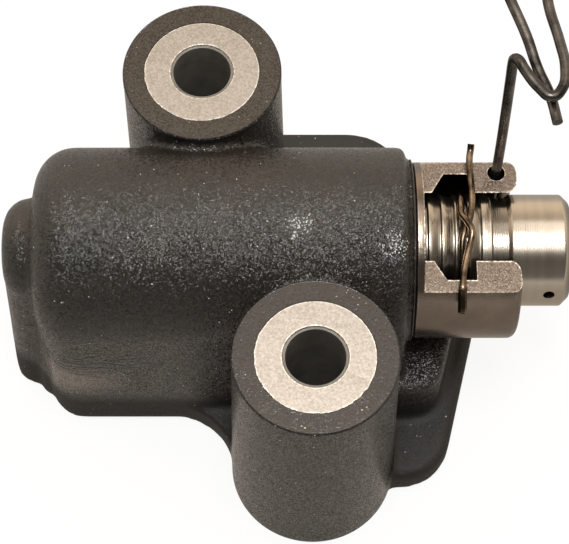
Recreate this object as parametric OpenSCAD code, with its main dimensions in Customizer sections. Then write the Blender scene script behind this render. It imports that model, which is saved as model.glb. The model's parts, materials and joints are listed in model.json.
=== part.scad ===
// Hydraulic timing chain tensioner: moulded housing, steel sleeve with a side window,
// ratchet plunger held by a wire ring, and a transport lock pin.
// The origin lies on the mounting face, midway between the two bolt holes.
// +X is the way the plunger extends, +Z points away from the mounting face.

/* [Mounting] */
// Bolt hole diameter in the bushes, for M6 bolts
bolt_hole_d = 6.6; // [5.5:0.1:8.4]
// Distance between the bolt holes along the plunger
bolt_dx = 12.8; // [8:0.1:16]
// Distance between the bolt holes across the plunger
bolt_dy = 35.9; // [35:0.1:40]
// Height of the bosses and bushes
boss_h = 32; // [28:0.5:38]
// Diameter of a boss at its top
boss_d = 18.2; // [16.5:0.1:20]
// How much a boss radius grows down to its foot
boss_draft = 0.55; // [0.1:0.05:0.8]
// Outside diameter of a bush
bush_d = 13.2; // [11.5:0.1:14]
// Chamfer at the ends of the bolt holes
bush_chamfer = 0.35; // [0.1:0.05:0.8]
// Thickness of the mounting flange
flange_t = 4; // [2.5:0.25:6]
// Rounding of the flange's upper edge
flange_round = 1.1; // [0.4:0.1:1.5]
// How far the flange reaches beyond the front bolt hole
flange_toe = 2.95; // [2:0.05:4]
// How far the flange reaches beyond the rear bolt hole
flange_heel = 8.65; // [7.5:0.05:10]
// How far the flange reaches ahead of the pedestal
flange_lip = 2.2; // [1:0.1:3.5]
// How far the flange's front corner falls back from its middle
toe_back = 3.5; // [2:0.1:5]
// How far the flange's rear corner falls back from its middle
heel_back = 7.8; // [5:0.1:10]
// Corner radius of the flange at its front
toe_r = 6; // [4:0.1:7]
// Corner radius of the flange at its middle
mid_r = 6.2; // [4:0.1:8]
// Corner radius of the flange at its rear
heel_r = 7.4; // [5:0.1:8]

/* [Housing] */
// Height of the plunger axis above the mounting face
axis_h = 22; // [20:0.5:26]
// Radius of the arched body
body_r = 11.8; // [11.2:0.1:13]
// Closed end of the body, behind the bolt centre
body_back = 25.4; // [24:0.1:32]
// Mouth end of the body, ahead of the bolt centre
body_front = 16.8; // [15:0.1:20]
// Rounding of the closed end
body_round = 4.5; // [2:0.1:5.5]
// Rounding of the mouth end
mouth_round = 0.8; // [0.3:0.1:1.5]
// Length of the collar round the mouth
collar_l = 0.9; // [0.6:0.1:2.5]
// How far the collar stands outside the sleeve's head
collar_lip = 0.2; // [0.1:0.05:0.6]
// Length of the low block on the closed end
block_l = 3.7; // [2:0.1:6]
// Radius of the low block's arch
block_r = 6; // [5:0.1:8]
// How much the low block spreads down to its foot
block_draft = 1.2; // [0.3:0.1:2]
// Rounding of the low block's edges
block_round = 3; // [1:0.1:3.2]
// Fillet between the body wall and the foot of a boss
web_r = 7.5; // [3:0.25:8]
// Half width of the pedestal below the sleeve
pedestal_half_w = 13.2; // [12:0.1:14]
// Front of the pedestal, ahead of the bolt centre
pedestal_front = 24.2; // [22:0.1:25]
// Corner radius of the pedestal
pedestal_corner_r = 3.6; // [2:0.1:5]
// Rounding of the pedestal's upper edge
pedestal_round = 0.7; // [0.3:0.1:1.2]
// Oil inlet diameter in the mounting face
inlet_d = 4; // [2:0.25:5]
// Floor of the sleeve bore, behind the bolt centre
bore_floor = 17.5; // [16:0.1:19]

/* [Sleeve] */
// Radius of the sleeve's shank inside the housing
shank_r = 9; // [8.4:0.1:9.6]
// Radius of the sleeve's head outside the housing
head_r = 10.1; // [9.8:0.05:10.8]
// Length of the sleeve's head
head_l = 11.8; // [11:0.1:14]
// Wall left between the head's shoulder and the window
window_gap = 0.9; // [0.5:0.1:1.5]
// Height of the window's cut above the plunger axis
cut_h = 5.8; // [5.2:0.1:6.4]
// Radius of the bore between the ears
ear_bore_r = 7.25; // [6.9:0.05:7.4]
// Radius of the recess for the ratchet ring
recess_r = 8.9; // [8.2:0.1:9.2]
// Start of the recess, ahead of the head's shoulder
recess_start = 2.1; // [1.7:0.1:2.4]
// Length of the recess's cone
recess_cone = 1.4; // [1:0.1:1.8]
// Length of the whole recess
recess_l = 4.7; // [4.4:0.1:5.2]
// Rounding of the ears' ends outside
ear_round = 1; // [0.4:0.1:1.3]
// Rounding of the ears' ends inside
ear_mouth_round = 1.1; // [0.4:0.1:1.3]

/* [Plunger] */
// Plunger diameter
plunger_d = 12.8; // [12:0.05:13.2]
// Plunger length
plunger_l = 44; // [41:0.5:45.5]
// How far the nose stands out of the sleeve
nose_out = 6; // [4:0.1:9]
// Chamfer of the nose
nose_chamfer = 0.9; // [0.2:0.1:1.2]
// Diameter of the spring bore in the plunger
spring_bore_d = 9.2; // [9:0.1:9.8]
// Thickness of the nose's wall behind the face
nose_wall = 4; // [3:0.25:6]
// Diameter of the oil spray hole in the nose
spray_d = 1.3; // [0.8:0.1:1.6]
// Distance of the spray hole from the nose's face
spray_back = 2.5; // [2.2:0.1:2.8]
// Pitch of the ratchet grooves
groove_pitch = 1.5; // [1.4:0.05:1.7]
// Depth of the ratchet grooves
groove_depth = 0.45; // [0.3:0.05:0.6]
// Ratchet steps of the plunger's stroke
steps = 9; // [4:1:10]
// Width of the lock groove
lock_groove_w = 2.4; // [2:0.05:2.6]

/* [Ratchet ring and lock pin] */
// Wire diameter of the ratchet ring
ring_wire_d = 0.78; // [0.6:0.02:0.84]
// Reach of the ring's rear leg from the plunger axis
rear_leg = 9.8; // [9:0.1:12]
// Reach of the ring's front leg from the plunger axis
front_leg = 10.3; // [9.5:0.1:12]
// Wire diameter of the lock pin
pin_wire_d = 1.16; // [0.9:0.02:1.3]
// Diameter of the pin hole in the sleeve's ear
pin_hole_d = 2; // [1.8:0.05:2.2]
// Distance of the pin from the ears' ends
pin_back = 2.3; // [2:0.1:2.6]
// Height of the pin's loop above the plunger axis
pin_rise = 30; // [22:0.5:36]
// Depth of the pin's end below the plunger axis
pin_depth = 5; // [3:0.25:6]

/* [Springs and valve] */
// Wire diameter of the plunger spring
spring_wire_d = 0.9; // [0.7:0.05:1]
// Turns of the plunger spring
spring_turns = 14; // [10:1:18]
// Length of the vent plug in the plunger
plug_l = 4; // [3:0.25:6]
// Length of the vent plug's spigot in the spring
plug_spigot_l = 5; // [2:0.5:8]
// Thickness of the valve seat
seat_t = 3.3; // [2.6:0.1:4]
// Diameter of the port in the valve seat
port_d = 3; // [2:0.1:3]
// Diameter of the check ball
ball_d = 4.4; // [4.2:0.1:4.6]
// Depth of the cage's cup
cage_l = 7; // [6:0.1:8]
// Wall of the cage
cage_t = 0.6; // [0.4:0.05:0.8]
// Turns of the valve spring
valve_turns = 6; // [4:1:8]
// Wire diameter of the valve spring
valve_wire_d = 0.3; // [0.2:0.02:0.36]
// Width of the inlet seal's ring
seal_w = 2; // [1.6:0.1:2.4]
// Height of the inlet seal's ring
seal_h = 1.6; // [1:0.1:2]

/* [Fits] */
// Gap of pressed and moulded-in pieces
press_gap = 0.02; // [0.01:0.01:0.05]
// Running gap of the plunger in its guide
guide_gap = 0.03; // [0.02:0.01:0.08]
// Gap between the lock pin and the plunger
pin_gap = 0.08; // [0.05:0.01:0.15]
// Gap of the ring above the groove it sits in
ring_gap = 0.08; // [0.05:0.01:0.12]
// Gap between the springs and the pieces round them
spring_gap = 0.15; // [0.1:0.01:0.2]
// Gap between the check ball and its seat
ball_gap = 0.02; // [0.01:0.01:0.05]

/* [Hidden] */
$fn = 64;

// Length that carries a cut clear of the face it passes
past = 1;
// Sides of a bent wire, and of a spring's wire
wire_sides = 8;
spring_sides = 6;
// Rings in one turn of a spring
turn_rings = 12;
// Steps round one corner of a lofted outline, and across a rounded edge
corner_steps = 7;
edge_steps = 3;

plunger_r = plunger_d / 2;
bush_r = bush_d / 2;
boss_foot_r = boss_d / 2 + boss_draft;
boss_edge = 0.25;
front_boss = [bolt_dx / 2, -bolt_dy / 2];
rear_boss = -front_boss;

// Stations along the plunger axis
mouth_x = body_front + collar_l;
ear_end_x = mouth_x + head_l;
tip_x = ear_end_x + nose_out;
plunger_back_x = tip_x - plunger_l;
seat_x = -bore_floor;
cage_x = seat_x + seat_t;
sleeve_back_x = cage_x + cage_t;
recess_x = mouth_x + recess_start;
recess_end_x = recess_x + recess_l;
spring_bore_end_x = tip_x - nose_wall;
plug_x = spring_bore_end_x - plug_l;

// A ratchet groove falls gently from the land behind it and rises steeply to the land ahead
groove_root_r = plunger_r - groove_depth;
root_half_w = groove_pitch * 0.05;
steep_w = groove_pitch * 0.12;
gentle_w = groove_pitch * 0.67;
fall = atan(groove_depth / gentle_w);

// The ratchet ring rests on the fall of one groove, near the recess's far wall, and passes over
// the lands at the crossing of its ends
ring_x = recess_end_x - groove_pitch * 0.77;
ring_back = ring_wire_d * 0.28;
ring_clear = ring_wire_d / 2 + ring_gap;
ring_r = groove_root_r + (ring_clear + (ring_back - root_half_w) * sin(fall)) / cos(fall);
ring_top_r = plunger_r + ring_clear;

// The lock pin stands beside the plunger at the lock groove
pin_x = ear_end_x - pin_back;
pin_y = plunger_r + pin_gap + pin_wire_d / 2;
pin_hole_y = plunger_r + pin_hole_d / 4;
guide_r = plunger_r + guide_gap;
housing_bore_r = shank_r + press_gap;
pedestal_h = axis_h - head_r - collar_lip / 2;

// Oil chamber behind the valve seat, fed from the mounting face
chamber_r = 4;
chamber_l = 4.2;
inlet_x = seat_x - chamber_l / 2;
seal_mean_r = inlet_d / 2 + 1.4 + seal_w / 2;
seal_inset = 0.1;
seal_groove_h = seal_h + seal_inset;

// Flange corners [x, y, radius], counter-clockwise from the front boss
flange_front_y = -(bolt_dy / 2 + flange_toe);
flange_rear_y = bolt_dy / 2 + flange_heel;
flange_x = pedestal_front + flange_lip;
flange_corners = [
    [front_boss[0], flange_front_y + toe_r, toe_r],
    [flange_x - toe_back - toe_r, flange_front_y + toe_r, toe_r],
    [flange_x - mid_r, 0, mid_r],
    [flange_x - heel_back - heel_r, flange_rear_y - heel_r, heel_r],
    [rear_boss[0], flange_rear_y - heel_r, heel_r],
];
pedestal_side = pedestal_half_w - pedestal_corner_r;
pedestal_corners = [
    [0, -pedestal_side, pedestal_corner_r],
    [pedestal_front - 6, -pedestal_side, pedestal_corner_r],
    [pedestal_front - pedestal_corner_r, 0, pedestal_corner_r],
    [pedestal_front - 6, pedestal_side, pedestal_corner_r],
    [0, pedestal_side, pedestal_corner_r],
];

// Ratchet ring's rear leg, from its tip to the crossing, and front leg, from the crossing to its tip,
// as [ahead, out along the leg, above the lands], in wire diameters, in reaches and in wire diameters
rear_leg_points = [
    [1.28, 1, 0.68], [1.03, 0.86, 0], [1.03, 0.56, 0], [1.13, 0.34, 0], [0.92, 0.15, 0], [0.46, 0, 0],
];
front_leg_points = [
    [-0.54, -0.09, 0.2], [0.06, 0.02, 1.02], [0.8, 0.15, 1.02], [0.58, 0.26, 0.6], [0.06, 0.41, 0.3],
    [-0.45, 0.58, 0.1], [-0.7, 0.73, 0], [-0.77, 0.82, -0.25], [-0.75, 1, -2.8],
];

// Lock pin's loop as [ahead, to the rear, above the loop's plane] of the pin's foot
loop_points = [
    [-0.3, 0, -3.2], [-0.34, 0, -1.5], [-0.26, -0.1, -0.3], [0.1, -0.6, 0.3], [0.6, -1.6, 0.25],
    [2.1, -3.85, 0], [3.3, -4.85, 0], [4.4, -3.9, 0], [4.9, -1.4, 0], [4.5, 1.8, 0], [3.6, 6.4, 0],
    [3.5, 9.6, 0], [3.85, 12.2, 0], [4.15, 15, 0], [3.5, 17.8, 0], [1.3, 19.6, 0], [-1.2, 19, 0],
    [-2.5, 16.6, 0], [-2.35, 13.6, 0], [-0.45, 7.4, -0.1],
    [1.2, 2.9, -0.7], [2.2, -0.6, -1.3], [3.4, -3.9, -1.6], [3.95, -7, -1.6],
];

function unit(v) = v / norm(v);

// Direction square to the outer tangent from corner circle a to corner circle b
function tangent_angle(a, b) =
    let (d = [b[0] - a[0], b[1] - a[1]])
    atan2(d[1], d[0]) - acos((a[2] - b[2]) / norm(d));

// Point of a corner circle [x, y, radius] in direction a
function corner_point(c, a) = [c[0] + c[2] * cos(a), c[1] + c[2] * sin(a)];

// Outer tangent from corner circle a to corner circle b
function tangent(a, b) =
    let (turn = tangent_angle(a, b))
    [corner_point(a, turn), corner_point(b, turn)];

// Convex outline round a list of corner circles, drawn in by inset, as points
function outline_points(corners, inset = 0) =
    let (n = len(corners))
    [
        for (i = [0 : n - 1])
            let (c = corners[i])
            let (from = tangent_angle(corners[(i + n - 1) % n], c))
            let (to = tangent_angle(c, corners[(i + 1) % n]))
            let (sweep = to < from ? to + 360 - from : to - from)
            for (k = [0 : corner_steps])
                corner_point([c[0], c[1], c[2] - inset], from + sweep * k / corner_steps),
    ];

// Point on a smooth curve through a, b, c and d, between b and c
function curve_point(a, b, c, d, t) =
    0.5 * (2 * b + (c - a) * t + (2 * a - 5 * b + 4 * c - d) * t * t + (3 * b - a - 3 * c + d) * t * t * t);

// Smooth curve through all points, with n steps between neighbours
function curve(p, n) =
    let (last = len(p) - 1)
    [
        for (i = [0 : last - 1])
            for (k = [0 : n - 1])
                curve_point(p[max(i - 1, 0)], p[i], p[i + 1], p[min(i + 2, last)], k / n),
        p[last],
    ];

// Direction of a path at each of its points
function directions(p) =
    let (last = len(p) - 1)
    [for (i = [0 : last]) unit(p[min(i + 1, last)] - p[max(i - 1, 0)])];

// Normals that follow a path without twist
function normals(t, start) = [
    for (i = 0, n = unit(start - (start * t[0]) * t[0]);
         i < len(t);
         i = i + 1, n = i < len(t) ? unit(n - (n * t[i]) * t[i]) : n)
        n,
];

// Closed skin over a row of layers, each a loop of as many points
module skin(layers) {
    n = len(layers[0]);
    last = len(layers) - 1;
    faces = [
        [for (k = [0 : n - 1]) k],
        for (i = [0 : last - 1])
            for (k = [0 : n - 1])
                let (a = i * n, b = a + n, next = (k + 1) % n)
                each [[a + k, b + k, b + next], [a + k, b + next, a + next]],
        [for (k = [n - 1 : -1 : 0]) last * n + k],
    ];
    polyhedron([for (layer = layers) each layer], faces, convexity = 8);
}

// Wire of diameter d along a path
module wire(path, d, start, sides = wire_sides) {
    t = directions(path);
    n = normals(t, start);
    skin([
        for (i = [0 : len(path) - 1])
            [
                for (k = [0 : sides - 1])
                    let (a = 360 * k / sides)
                    path[i] + d / 2 * (cos(a) * n[i] + sin(a) * cross(t[i], n[i])),
            ],
    ]);
}

// Coil spring along the axis, closed at both ends, between faces at x0 and x1
module coil_spring(x0, x1, mean_r, wire_d, turns) {
    closed_turns = 1;
    rings = turns * turn_rings;
    rise = x1 - x0 - wire_d - 2 * closed_turns * wire_d * 1.05;
    path = [
        for (i = [0 : rings])
            let (at = i / turn_rings)
            let (open = min(max(at - closed_turns, 0), turns - 2 * closed_turns))
            let (shut = min(at, closed_turns) + max(at - (turns - closed_turns), 0))
            let (x = x0 + wire_d / 2 + shut * wire_d * 1.05 + rise * open / (turns - 2 * closed_turns))
            [x, mean_r * sin(360 * at), axis_h + mean_r * cos(360 * at)],
    ];
    wire(path, wire_d, [1, 0, 0], spring_sides);
}

// Turns a profile of [radius, x] points about the plunger axis
module on_axis() {
    translate([0, 0, axis_h])
        rotate([0, 90, 0])
            rotate_extrude()
                children();
}

module axis_bar(r, x0, x1) {
    translate([x0, 0, axis_h])
        rotate([0, 90, 0])
            cylinder(r = r, h = x1 - x0);
}

// Profile of a round bar from x0 to x1 with rounded edges
module bar_profile(r, x0, x1, edge0, edge1) {
    polygon([[0, x0], [r - edge0, x0], [r, x0 + edge0], [r, x1 - edge1], [r - edge1, x1], [0, x1]]);
    translate([r - edge0, x0 + edge0])
        circle(edge0);
    translate([r - edge1, x1 - edge1])
        circle(edge1);
}

// Cut profile that rounds the end at x of a bore of radius r
module bore_flare(r, x, edge) {
    difference() {
        translate([r - edge, x - edge])
            square([2 * edge, edge + past]);
        translate([r + edge, x - edge])
            circle(edge);
    }
}

// Convex outline round a list of corner circles
module rounded_outline(corners) {
    n = len(corners);
    polygon([for (i = [0 : n - 1]) each tangent(corners[i], corners[(i + 1) % n])]);
    for (c = corners)
        translate([c[0], c[1]])
            circle(c[2]);
}

// Loop of outline points at height z
function layer(points, z) = [for (p = points) [p[0], p[1], z]];

// Plate of height h whose upper edge is rounded
module rounded_plate(corners, h, edge) {
    skin([
        layer(outline_points(corners), 0),
        for (k = [0 : edge_steps])
            let (a = 90 * k / edge_steps)
            layer(outline_points(corners, edge * (1 - cos(a))), h - edge + edge * sin(a)),
    ]);
}

// Arched body with upright walls, rounded at its closed end
module body_arch() {
    on_axis()
        bar_profile(body_r, -body_back, body_front, body_round, mouth_round);
    linear_extrude(axis_h)
        rounded_outline([
            [body_front - mouth_round, -(body_r - mouth_round), mouth_round],
            [body_front - mouth_round, body_r - mouth_round, mouth_round],
            [-body_back + body_round, body_r - body_round, body_round],
            [-body_back + body_round, -(body_r - body_round), body_round],
        ]);
    axis_bar(head_r + collar_lip, 0, mouth_x);
}

// Corners of the low block's plan, which runs from inside the body to its own end
function block_corners(l, half_w) =
    let (x0 = -body_back - l + block_round, y = half_w - block_round)
    [[0, -y, block_round], [0, y, block_round], [x0, y, block_round], [x0, -y, block_round]];

// Low block on the closed end, spreading down to the mounting face from just inside its arch
module end_block() {
    tuck = 0.05;
    foot_l = block_l + block_draft * 0.7;
    foot_half_w = block_r + block_draft;
    on_axis()
        bar_profile(block_r, -body_back - block_l, 0, block_round, mouth_round);
    skin([
        layer(outline_points(block_corners(foot_l, foot_half_w)), 0),
        layer(outline_points(block_corners(block_l, block_r), tuck), axis_h),
    ]);
}

module boss(at) {
    r = boss_d / 2;
    translate([at[0], at[1], 0])
        rotate_extrude()
            polygon([
                [0, 0], [boss_foot_r, 0], [r, boss_h - boss_edge], [r - boss_edge, boss_h], [0, boss_h],
            ]);
}

// Hollow fillet at flange height between the body wall and the foot of a boss, on its closed side,
// running a little way into both
module foot_web(at) {
    bite = 0.15;
    side = sign(at[1]);
    wall_y = side * (body_r - bite);
    yc = wall_y + side * web_r;
    xc = at[0] - sqrt(pow(boss_foot_r - bite + web_r, 2) - pow(yc - at[1], 2));
    linear_extrude(flange_t)
        difference() {
            polygon([[xc, wall_y - side * past], [at[0], wall_y - side * past], at, [xc, yc]]);
            translate([xc, yc])
                circle(web_r);
        }
}

module bolt_bush(at) {
    color("silver")
        translate([at[0], at[1], 0])
            rotate_extrude()
                polygon([
                    [bolt_hole_d / 2 + bush_chamfer, 0], [bush_r, 0], [bush_r, boss_h],
                    [bolt_hole_d / 2 + bush_chamfer, boss_h], [bolt_hole_d / 2, boss_h - bush_chamfer],
                    [bolt_hole_d / 2, bush_chamfer],
                ]);
}

module housing() {
    color([0.11, 0.1, 0.09])
        difference() {
            union() {
                body_arch();
                end_block();
                boss(front_boss);
                boss(rear_boss);
                rounded_plate(flange_corners, flange_t, flange_round);
                rounded_plate(pedestal_corners, pedestal_h, pedestal_round);
                foot_web(front_boss);
                foot_web(rear_boss);
            }
            axis_bar(housing_bore_r, seat_x, mouth_x + past);
            axis_bar(chamber_r, seat_x - chamber_l, seat_x + past);
            translate([inlet_x, 0, -past])
                cylinder(d = inlet_d, h = axis_h + past);
            translate([inlet_x, 0, -past])
                difference() {
                    cylinder(r = seal_mean_r + seal_w / 2 + press_gap, h = seal_groove_h + past);
                    translate([0, 0, -past])
                        cylinder(r = seal_mean_r - seal_w / 2 - press_gap, h = seal_groove_h + 3 * past);
                }
            for (at = [front_boss, rear_boss])
                translate([at[0], at[1], -past])
                    cylinder(r = bush_r + press_gap, h = boss_h + 2 * past);
        }
}

module front_bolt_bush() {
    bolt_bush(front_boss);
}

module rear_bolt_bush() {
    bolt_bush(rear_boss);
}

// Rubber ring round the oil inlet, in a groove of the mounting face
module inlet_seal() {
    edge = seal_w / 4;
    color([0.05, 0.05, 0.05])
        translate([inlet_x, 0, 0])
            rotate_extrude()
                translate([seal_mean_r - seal_w / 2, seal_inset])
                    polygon([
                        [edge, 0], [seal_w - edge, 0], [seal_w, edge],
                        [seal_w, seal_h], [0, seal_h], [0, edge],
                    ]);
}

// Steel cylinder: shank in the housing, head with a window that leaves two ears
module sleeve() {
    color([0.42, 0.38, 0.33])
        difference() {
            on_axis()
                difference() {
                    union() {
                        translate([0, sleeve_back_x])
                            square([shank_r, mouth_x - sleeve_back_x + past]);
                        bar_profile(head_r, mouth_x, ear_end_x, mouth_round / 4, ear_round);
                    }
                    polygon([
                        [-past, sleeve_back_x - past], [guide_r, sleeve_back_x - past],
                        [guide_r, mouth_x], [ear_bore_r, mouth_x + window_gap / 2],
                        [ear_bore_r, recess_x], [recess_r, recess_x + recess_cone],
                        [recess_r, recess_end_x], [ear_bore_r, recess_end_x],
                        [ear_bore_r, ear_end_x + past], [-past, ear_end_x + past],
                    ]);
                    bore_flare(ear_bore_r, ear_end_x, ear_mouth_round);
                }
            translate([mouth_x + window_gap, -head_r - past, axis_h + cut_h])
                cube([head_l, 2 * (head_r + past), head_r]);
            translate([pin_x, pin_hole_y, axis_h - head_r])
                cylinder(d = pin_hole_d, h = 2 * head_r);
        }
}

// One ratchet groove with its root at x, as profile points from the land behind to the land ahead
function groove(x) = [
    [plunger_r, x - root_half_w - gentle_w], [groove_root_r, x - root_half_w],
    [groove_root_r, x + root_half_w], [plunger_r, x + root_half_w + steep_w],
];

module plunger() {
    lock_r = groove_root_r + groove_depth / 8;
    lock_back_x = pin_x - lock_groove_w * 0.37;
    lock_front_x = lock_back_x + lock_groove_w;
    drill_r = spring_bore_d / 6;
    color([0.78, 0.77, 0.75])
        difference() {
            on_axis()
                difference() {
                    polygon(concat(
                        [[0, plunger_back_x], [plunger_r - nose_chamfer, plunger_back_x],
                         [plunger_r, plunger_back_x + nose_chamfer]],
                        [for (k = [steps : -1 : -1]) each groove(ring_x + ring_back - k * groove_pitch)],
                        [[plunger_r, lock_back_x], [lock_r, lock_back_x + groove_depth / 2],
                         [lock_r, lock_front_x - groove_depth], [plunger_r, lock_front_x],
                         [plunger_r, tip_x - nose_chamfer], [plunger_r - nose_chamfer, tip_x], [0, tip_x]]
                    ));
                    translate([-past, plunger_back_x - past])
                        square([spring_bore_d / 2 + past, spring_bore_end_x - plunger_back_x + past]);
                    translate([-past, spring_bore_end_x - past])
                        square([drill_r + past, nose_wall - spray_back + spray_d + past]);
                }
            translate([tip_x - spray_back, 0, axis_h])
                rotate([80, 0, 0])
                    cylinder(d = spray_d, h = plunger_d);
        }
}

// Plug at the end of the spring bore, with a spigot for the spring and a bleed groove
module vent_plug() {
    r = spring_bore_d / 2 - press_gap;
    spigot_r = spring_bore_d / 2 - spring_gap - spring_wire_d - spring_gap;
    groove_w = 0.8;
    color([0.75, 0.72, 0.62])
        difference() {
            union() {
                axis_bar(r, plug_x, spring_bore_end_x);
                axis_bar(spigot_r, plug_x - plug_spigot_l, plug_x + past);
            }
            translate([plug_x - past, -groove_w / 2, axis_h + r - groove_w])
                cube([plug_l + 2 * past, groove_w, 2 * groove_w]);
            axis_bar(spigot_r / 2, plug_x - plug_spigot_l - past, plug_x + plug_l / 2);
        }
}

module plunger_spring() {
    mean_r = spring_bore_d / 2 - spring_gap - spring_wire_d / 2;
    color([0.5, 0.5, 0.52])
        coil_spring(sleeve_back_x, plug_x, mean_r, spring_wire_d, spring_turns);
}

// One turn round the plunger, a little up the groove's fall towards the top, whose ends cross there
// and leave over the ears
module ratchet_ring() {
    from = 18;
    step = 18;
    top = [ring_x, 0, axis_h + ring_top_r];
    rear = [for (p = rear_leg_points) top + [p[0] * ring_wire_d, p[1] * rear_leg, p[2] * ring_wire_d]];
    front = [for (p = front_leg_points) top + [p[0] * ring_wire_d, -p[1] * front_leg, p[2] * ring_wire_d]];
    turn = [
        for (a = [from : step : 360 - from])
            let (share = pow(cos(a / 2), 4))
            let (r = ring_r + share * (ring_top_r - ring_r))
            [ring_x - share * ring_wire_d / 2, -r * sin(a), axis_h + r * cos(a)],
    ];
    color([0.38, 0.27, 0.15])
        wire(curve(concat(rear, turn, front), 3), ring_wire_d, [1, 0, 0]);
}

// Straight pin through the rear ear, bent over into a pull loop
module lock_pin() {
    foot = [pin_x, pin_y, axis_h - pin_depth];
    straight_end = [pin_x, pin_y, axis_h + head_r];
    plane = [pin_x, pin_y, axis_h + pin_rise];
    loop = [for (p = loop_points) plane + p];
    color([0.14, 0.13, 0.12])
        wire(concat([foot], curve(concat([straight_end], loop), 4)), pin_wire_d, [1, 0, 0]);
}

// Disc with the oil port and a conical seat for the ball
module valve_seat() {
    r = shank_r - press_gap;
    lip_r = ball_d / 2 - 0.1;
    cone_l = lip_r - port_d / 2;
    color([0.6, 0.6, 0.58])
        on_axis()
            polygon([
                [port_d / 2, seat_x], [r, seat_x], [r, cage_x],
                [lip_r, cage_x], [port_d / 2, cage_x - cone_l],
            ]);
}

// The ball rests on the seat's 45 degree cone
ball_x = cage_x - (ball_d / 2 - 0.1) + ball_d / 2 * sqrt(2) + ball_gap * sqrt(2);

module check_ball() {
    color([0.8, 0.8, 0.8])
        translate([ball_x, 0, axis_h])
            rotate([0, 90, 0])
                sphere(d = ball_d);
}

cage_cup_r = ball_d / 2 + 0.6;
valve_spring_r = ball_d * 0.3;

module valve_spring() {
    touch = sqrt(pow(ball_d / 2 + valve_wire_d / 2 + ball_gap, 2) - pow(valve_spring_r, 2));
    color([0.55, 0.55, 0.55])
        coil_spring(ball_x + touch - valve_wire_d / 2, cage_x + cage_l - cage_t, valve_spring_r,
                    valve_wire_d, valve_turns);
}

// Flanged cup that keeps the ball and its spring, with oil windows in its wall
module valve_cage() {
    flange_r = shank_r - press_gap;
    window_d = 1.8;
    color([0.62, 0.6, 0.55])
        difference() {
            on_axis()
                polygon([
                    [cage_cup_r, cage_x], [flange_r, cage_x], [flange_r, sleeve_back_x],
                    [cage_cup_r + cage_t, sleeve_back_x], [cage_cup_r + cage_t, cage_x + cage_l],
                    [valve_spring_r / 2, cage_x + cage_l], [valve_spring_r / 2, cage_x + cage_l - cage_t],
                    [cage_cup_r, cage_x + cage_l - cage_t],
                ]);
            for (a = [45 : 90 : 315])
                translate([cage_x + cage_l / 2 + window_d / 2, 0, axis_h])
                    rotate([a, 0, 0])
                        cylinder(d = window_d, h = cage_cup_r + cage_t + past);
        }
}

housing();
front_bolt_bush();
rear_bolt_bush();
inlet_seal();
sleeve();
plunger();
vent_plug();
plunger_spring();
ratchet_ring();
lock_pin();
valve_seat();
check_ball();
valve_spring();
valve_cage();
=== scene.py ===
import json
import math
import random

import bmesh
import bpy
from bpy.props import FloatProperty, FloatVectorProperty, PointerProperty
from bpy.types import Operator, Panel, PropertyGroup
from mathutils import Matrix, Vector

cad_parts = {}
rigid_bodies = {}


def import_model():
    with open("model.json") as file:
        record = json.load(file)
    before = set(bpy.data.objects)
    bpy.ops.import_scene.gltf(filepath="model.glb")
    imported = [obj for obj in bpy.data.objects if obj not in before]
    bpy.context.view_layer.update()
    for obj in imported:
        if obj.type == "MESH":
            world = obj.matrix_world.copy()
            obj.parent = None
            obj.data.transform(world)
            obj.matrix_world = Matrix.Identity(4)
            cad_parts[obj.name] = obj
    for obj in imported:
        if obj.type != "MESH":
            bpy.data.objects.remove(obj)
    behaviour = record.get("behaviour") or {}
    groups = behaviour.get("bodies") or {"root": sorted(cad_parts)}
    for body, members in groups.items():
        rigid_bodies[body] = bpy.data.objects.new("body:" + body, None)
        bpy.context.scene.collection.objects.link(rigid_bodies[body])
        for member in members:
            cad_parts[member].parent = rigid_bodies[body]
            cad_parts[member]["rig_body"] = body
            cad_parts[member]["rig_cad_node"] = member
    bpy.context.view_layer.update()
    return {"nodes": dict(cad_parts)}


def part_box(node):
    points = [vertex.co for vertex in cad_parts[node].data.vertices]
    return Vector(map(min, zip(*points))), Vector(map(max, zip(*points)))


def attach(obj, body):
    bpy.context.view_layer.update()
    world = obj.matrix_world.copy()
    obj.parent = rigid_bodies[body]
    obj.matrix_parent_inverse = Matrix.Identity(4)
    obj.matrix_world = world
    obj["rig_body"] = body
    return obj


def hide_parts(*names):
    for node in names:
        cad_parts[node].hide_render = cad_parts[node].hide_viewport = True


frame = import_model()

bl_info = {
    "name": "Timing Chain Tensioner",
    "version": (1, 0, 0),
    "blender": (4, 5, 0),
    "location": "View3D > Sidebar > Tensioner",
    "description": "Moulds, turns and bends the visible pieces of a hydraulic chain tensioner",
    "category": "Object",
}

MM = 0.001

# Places that the frame gives: the bolt axes, the bosses' tops and the plunger axis
FRONT_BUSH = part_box("front_bolt_bush")
REAR_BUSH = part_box("rear_bolt_bush")
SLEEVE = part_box("sleeve")
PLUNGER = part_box("plunger")
FRONT_AXIS = (FRONT_BUSH[0] + FRONT_BUSH[1]) / 2
REAR_AXIS = (REAR_BUSH[0] + REAR_BUSH[1]) / 2
BUSH_R = (FRONT_BUSH[1].x - FRONT_BUSH[0].x) / 2
BOSS_TOP = FRONT_BUSH[1].z
AXIS_Z = (PLUNGER[0].z + PLUNGER[1].z) / 2
PLUNGER_R = PLUNGER[1].y

# Middle of a pale, streaky highlight painted on the rounded corner low on the housing's closed end,
# and of the creases above it
SHEEN_SPOT = Vector((-22.0, -11.6, 11.7)) * MM
CREASED = SHEEN_SPOT + Vector((1, 0, 5)) * MM
# Spots of the barrel where the grain's facets lean less and painted glints lie thickest, in mm
GLINT_SPOTS = ((4.76, -2.82, 33.45), (15.15, -4.91, 32.72))
# Clearance of the wires from the plunger
WIRE_GAP = 0.08 * MM
# Turn past which an edge of a machined piece is broken
SHARP_TURN = math.radians(38)
# Distance within which points of a mesh are merged, and two places count as one
MERGE = 1e-7
NEAR = 1e-5


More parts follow.
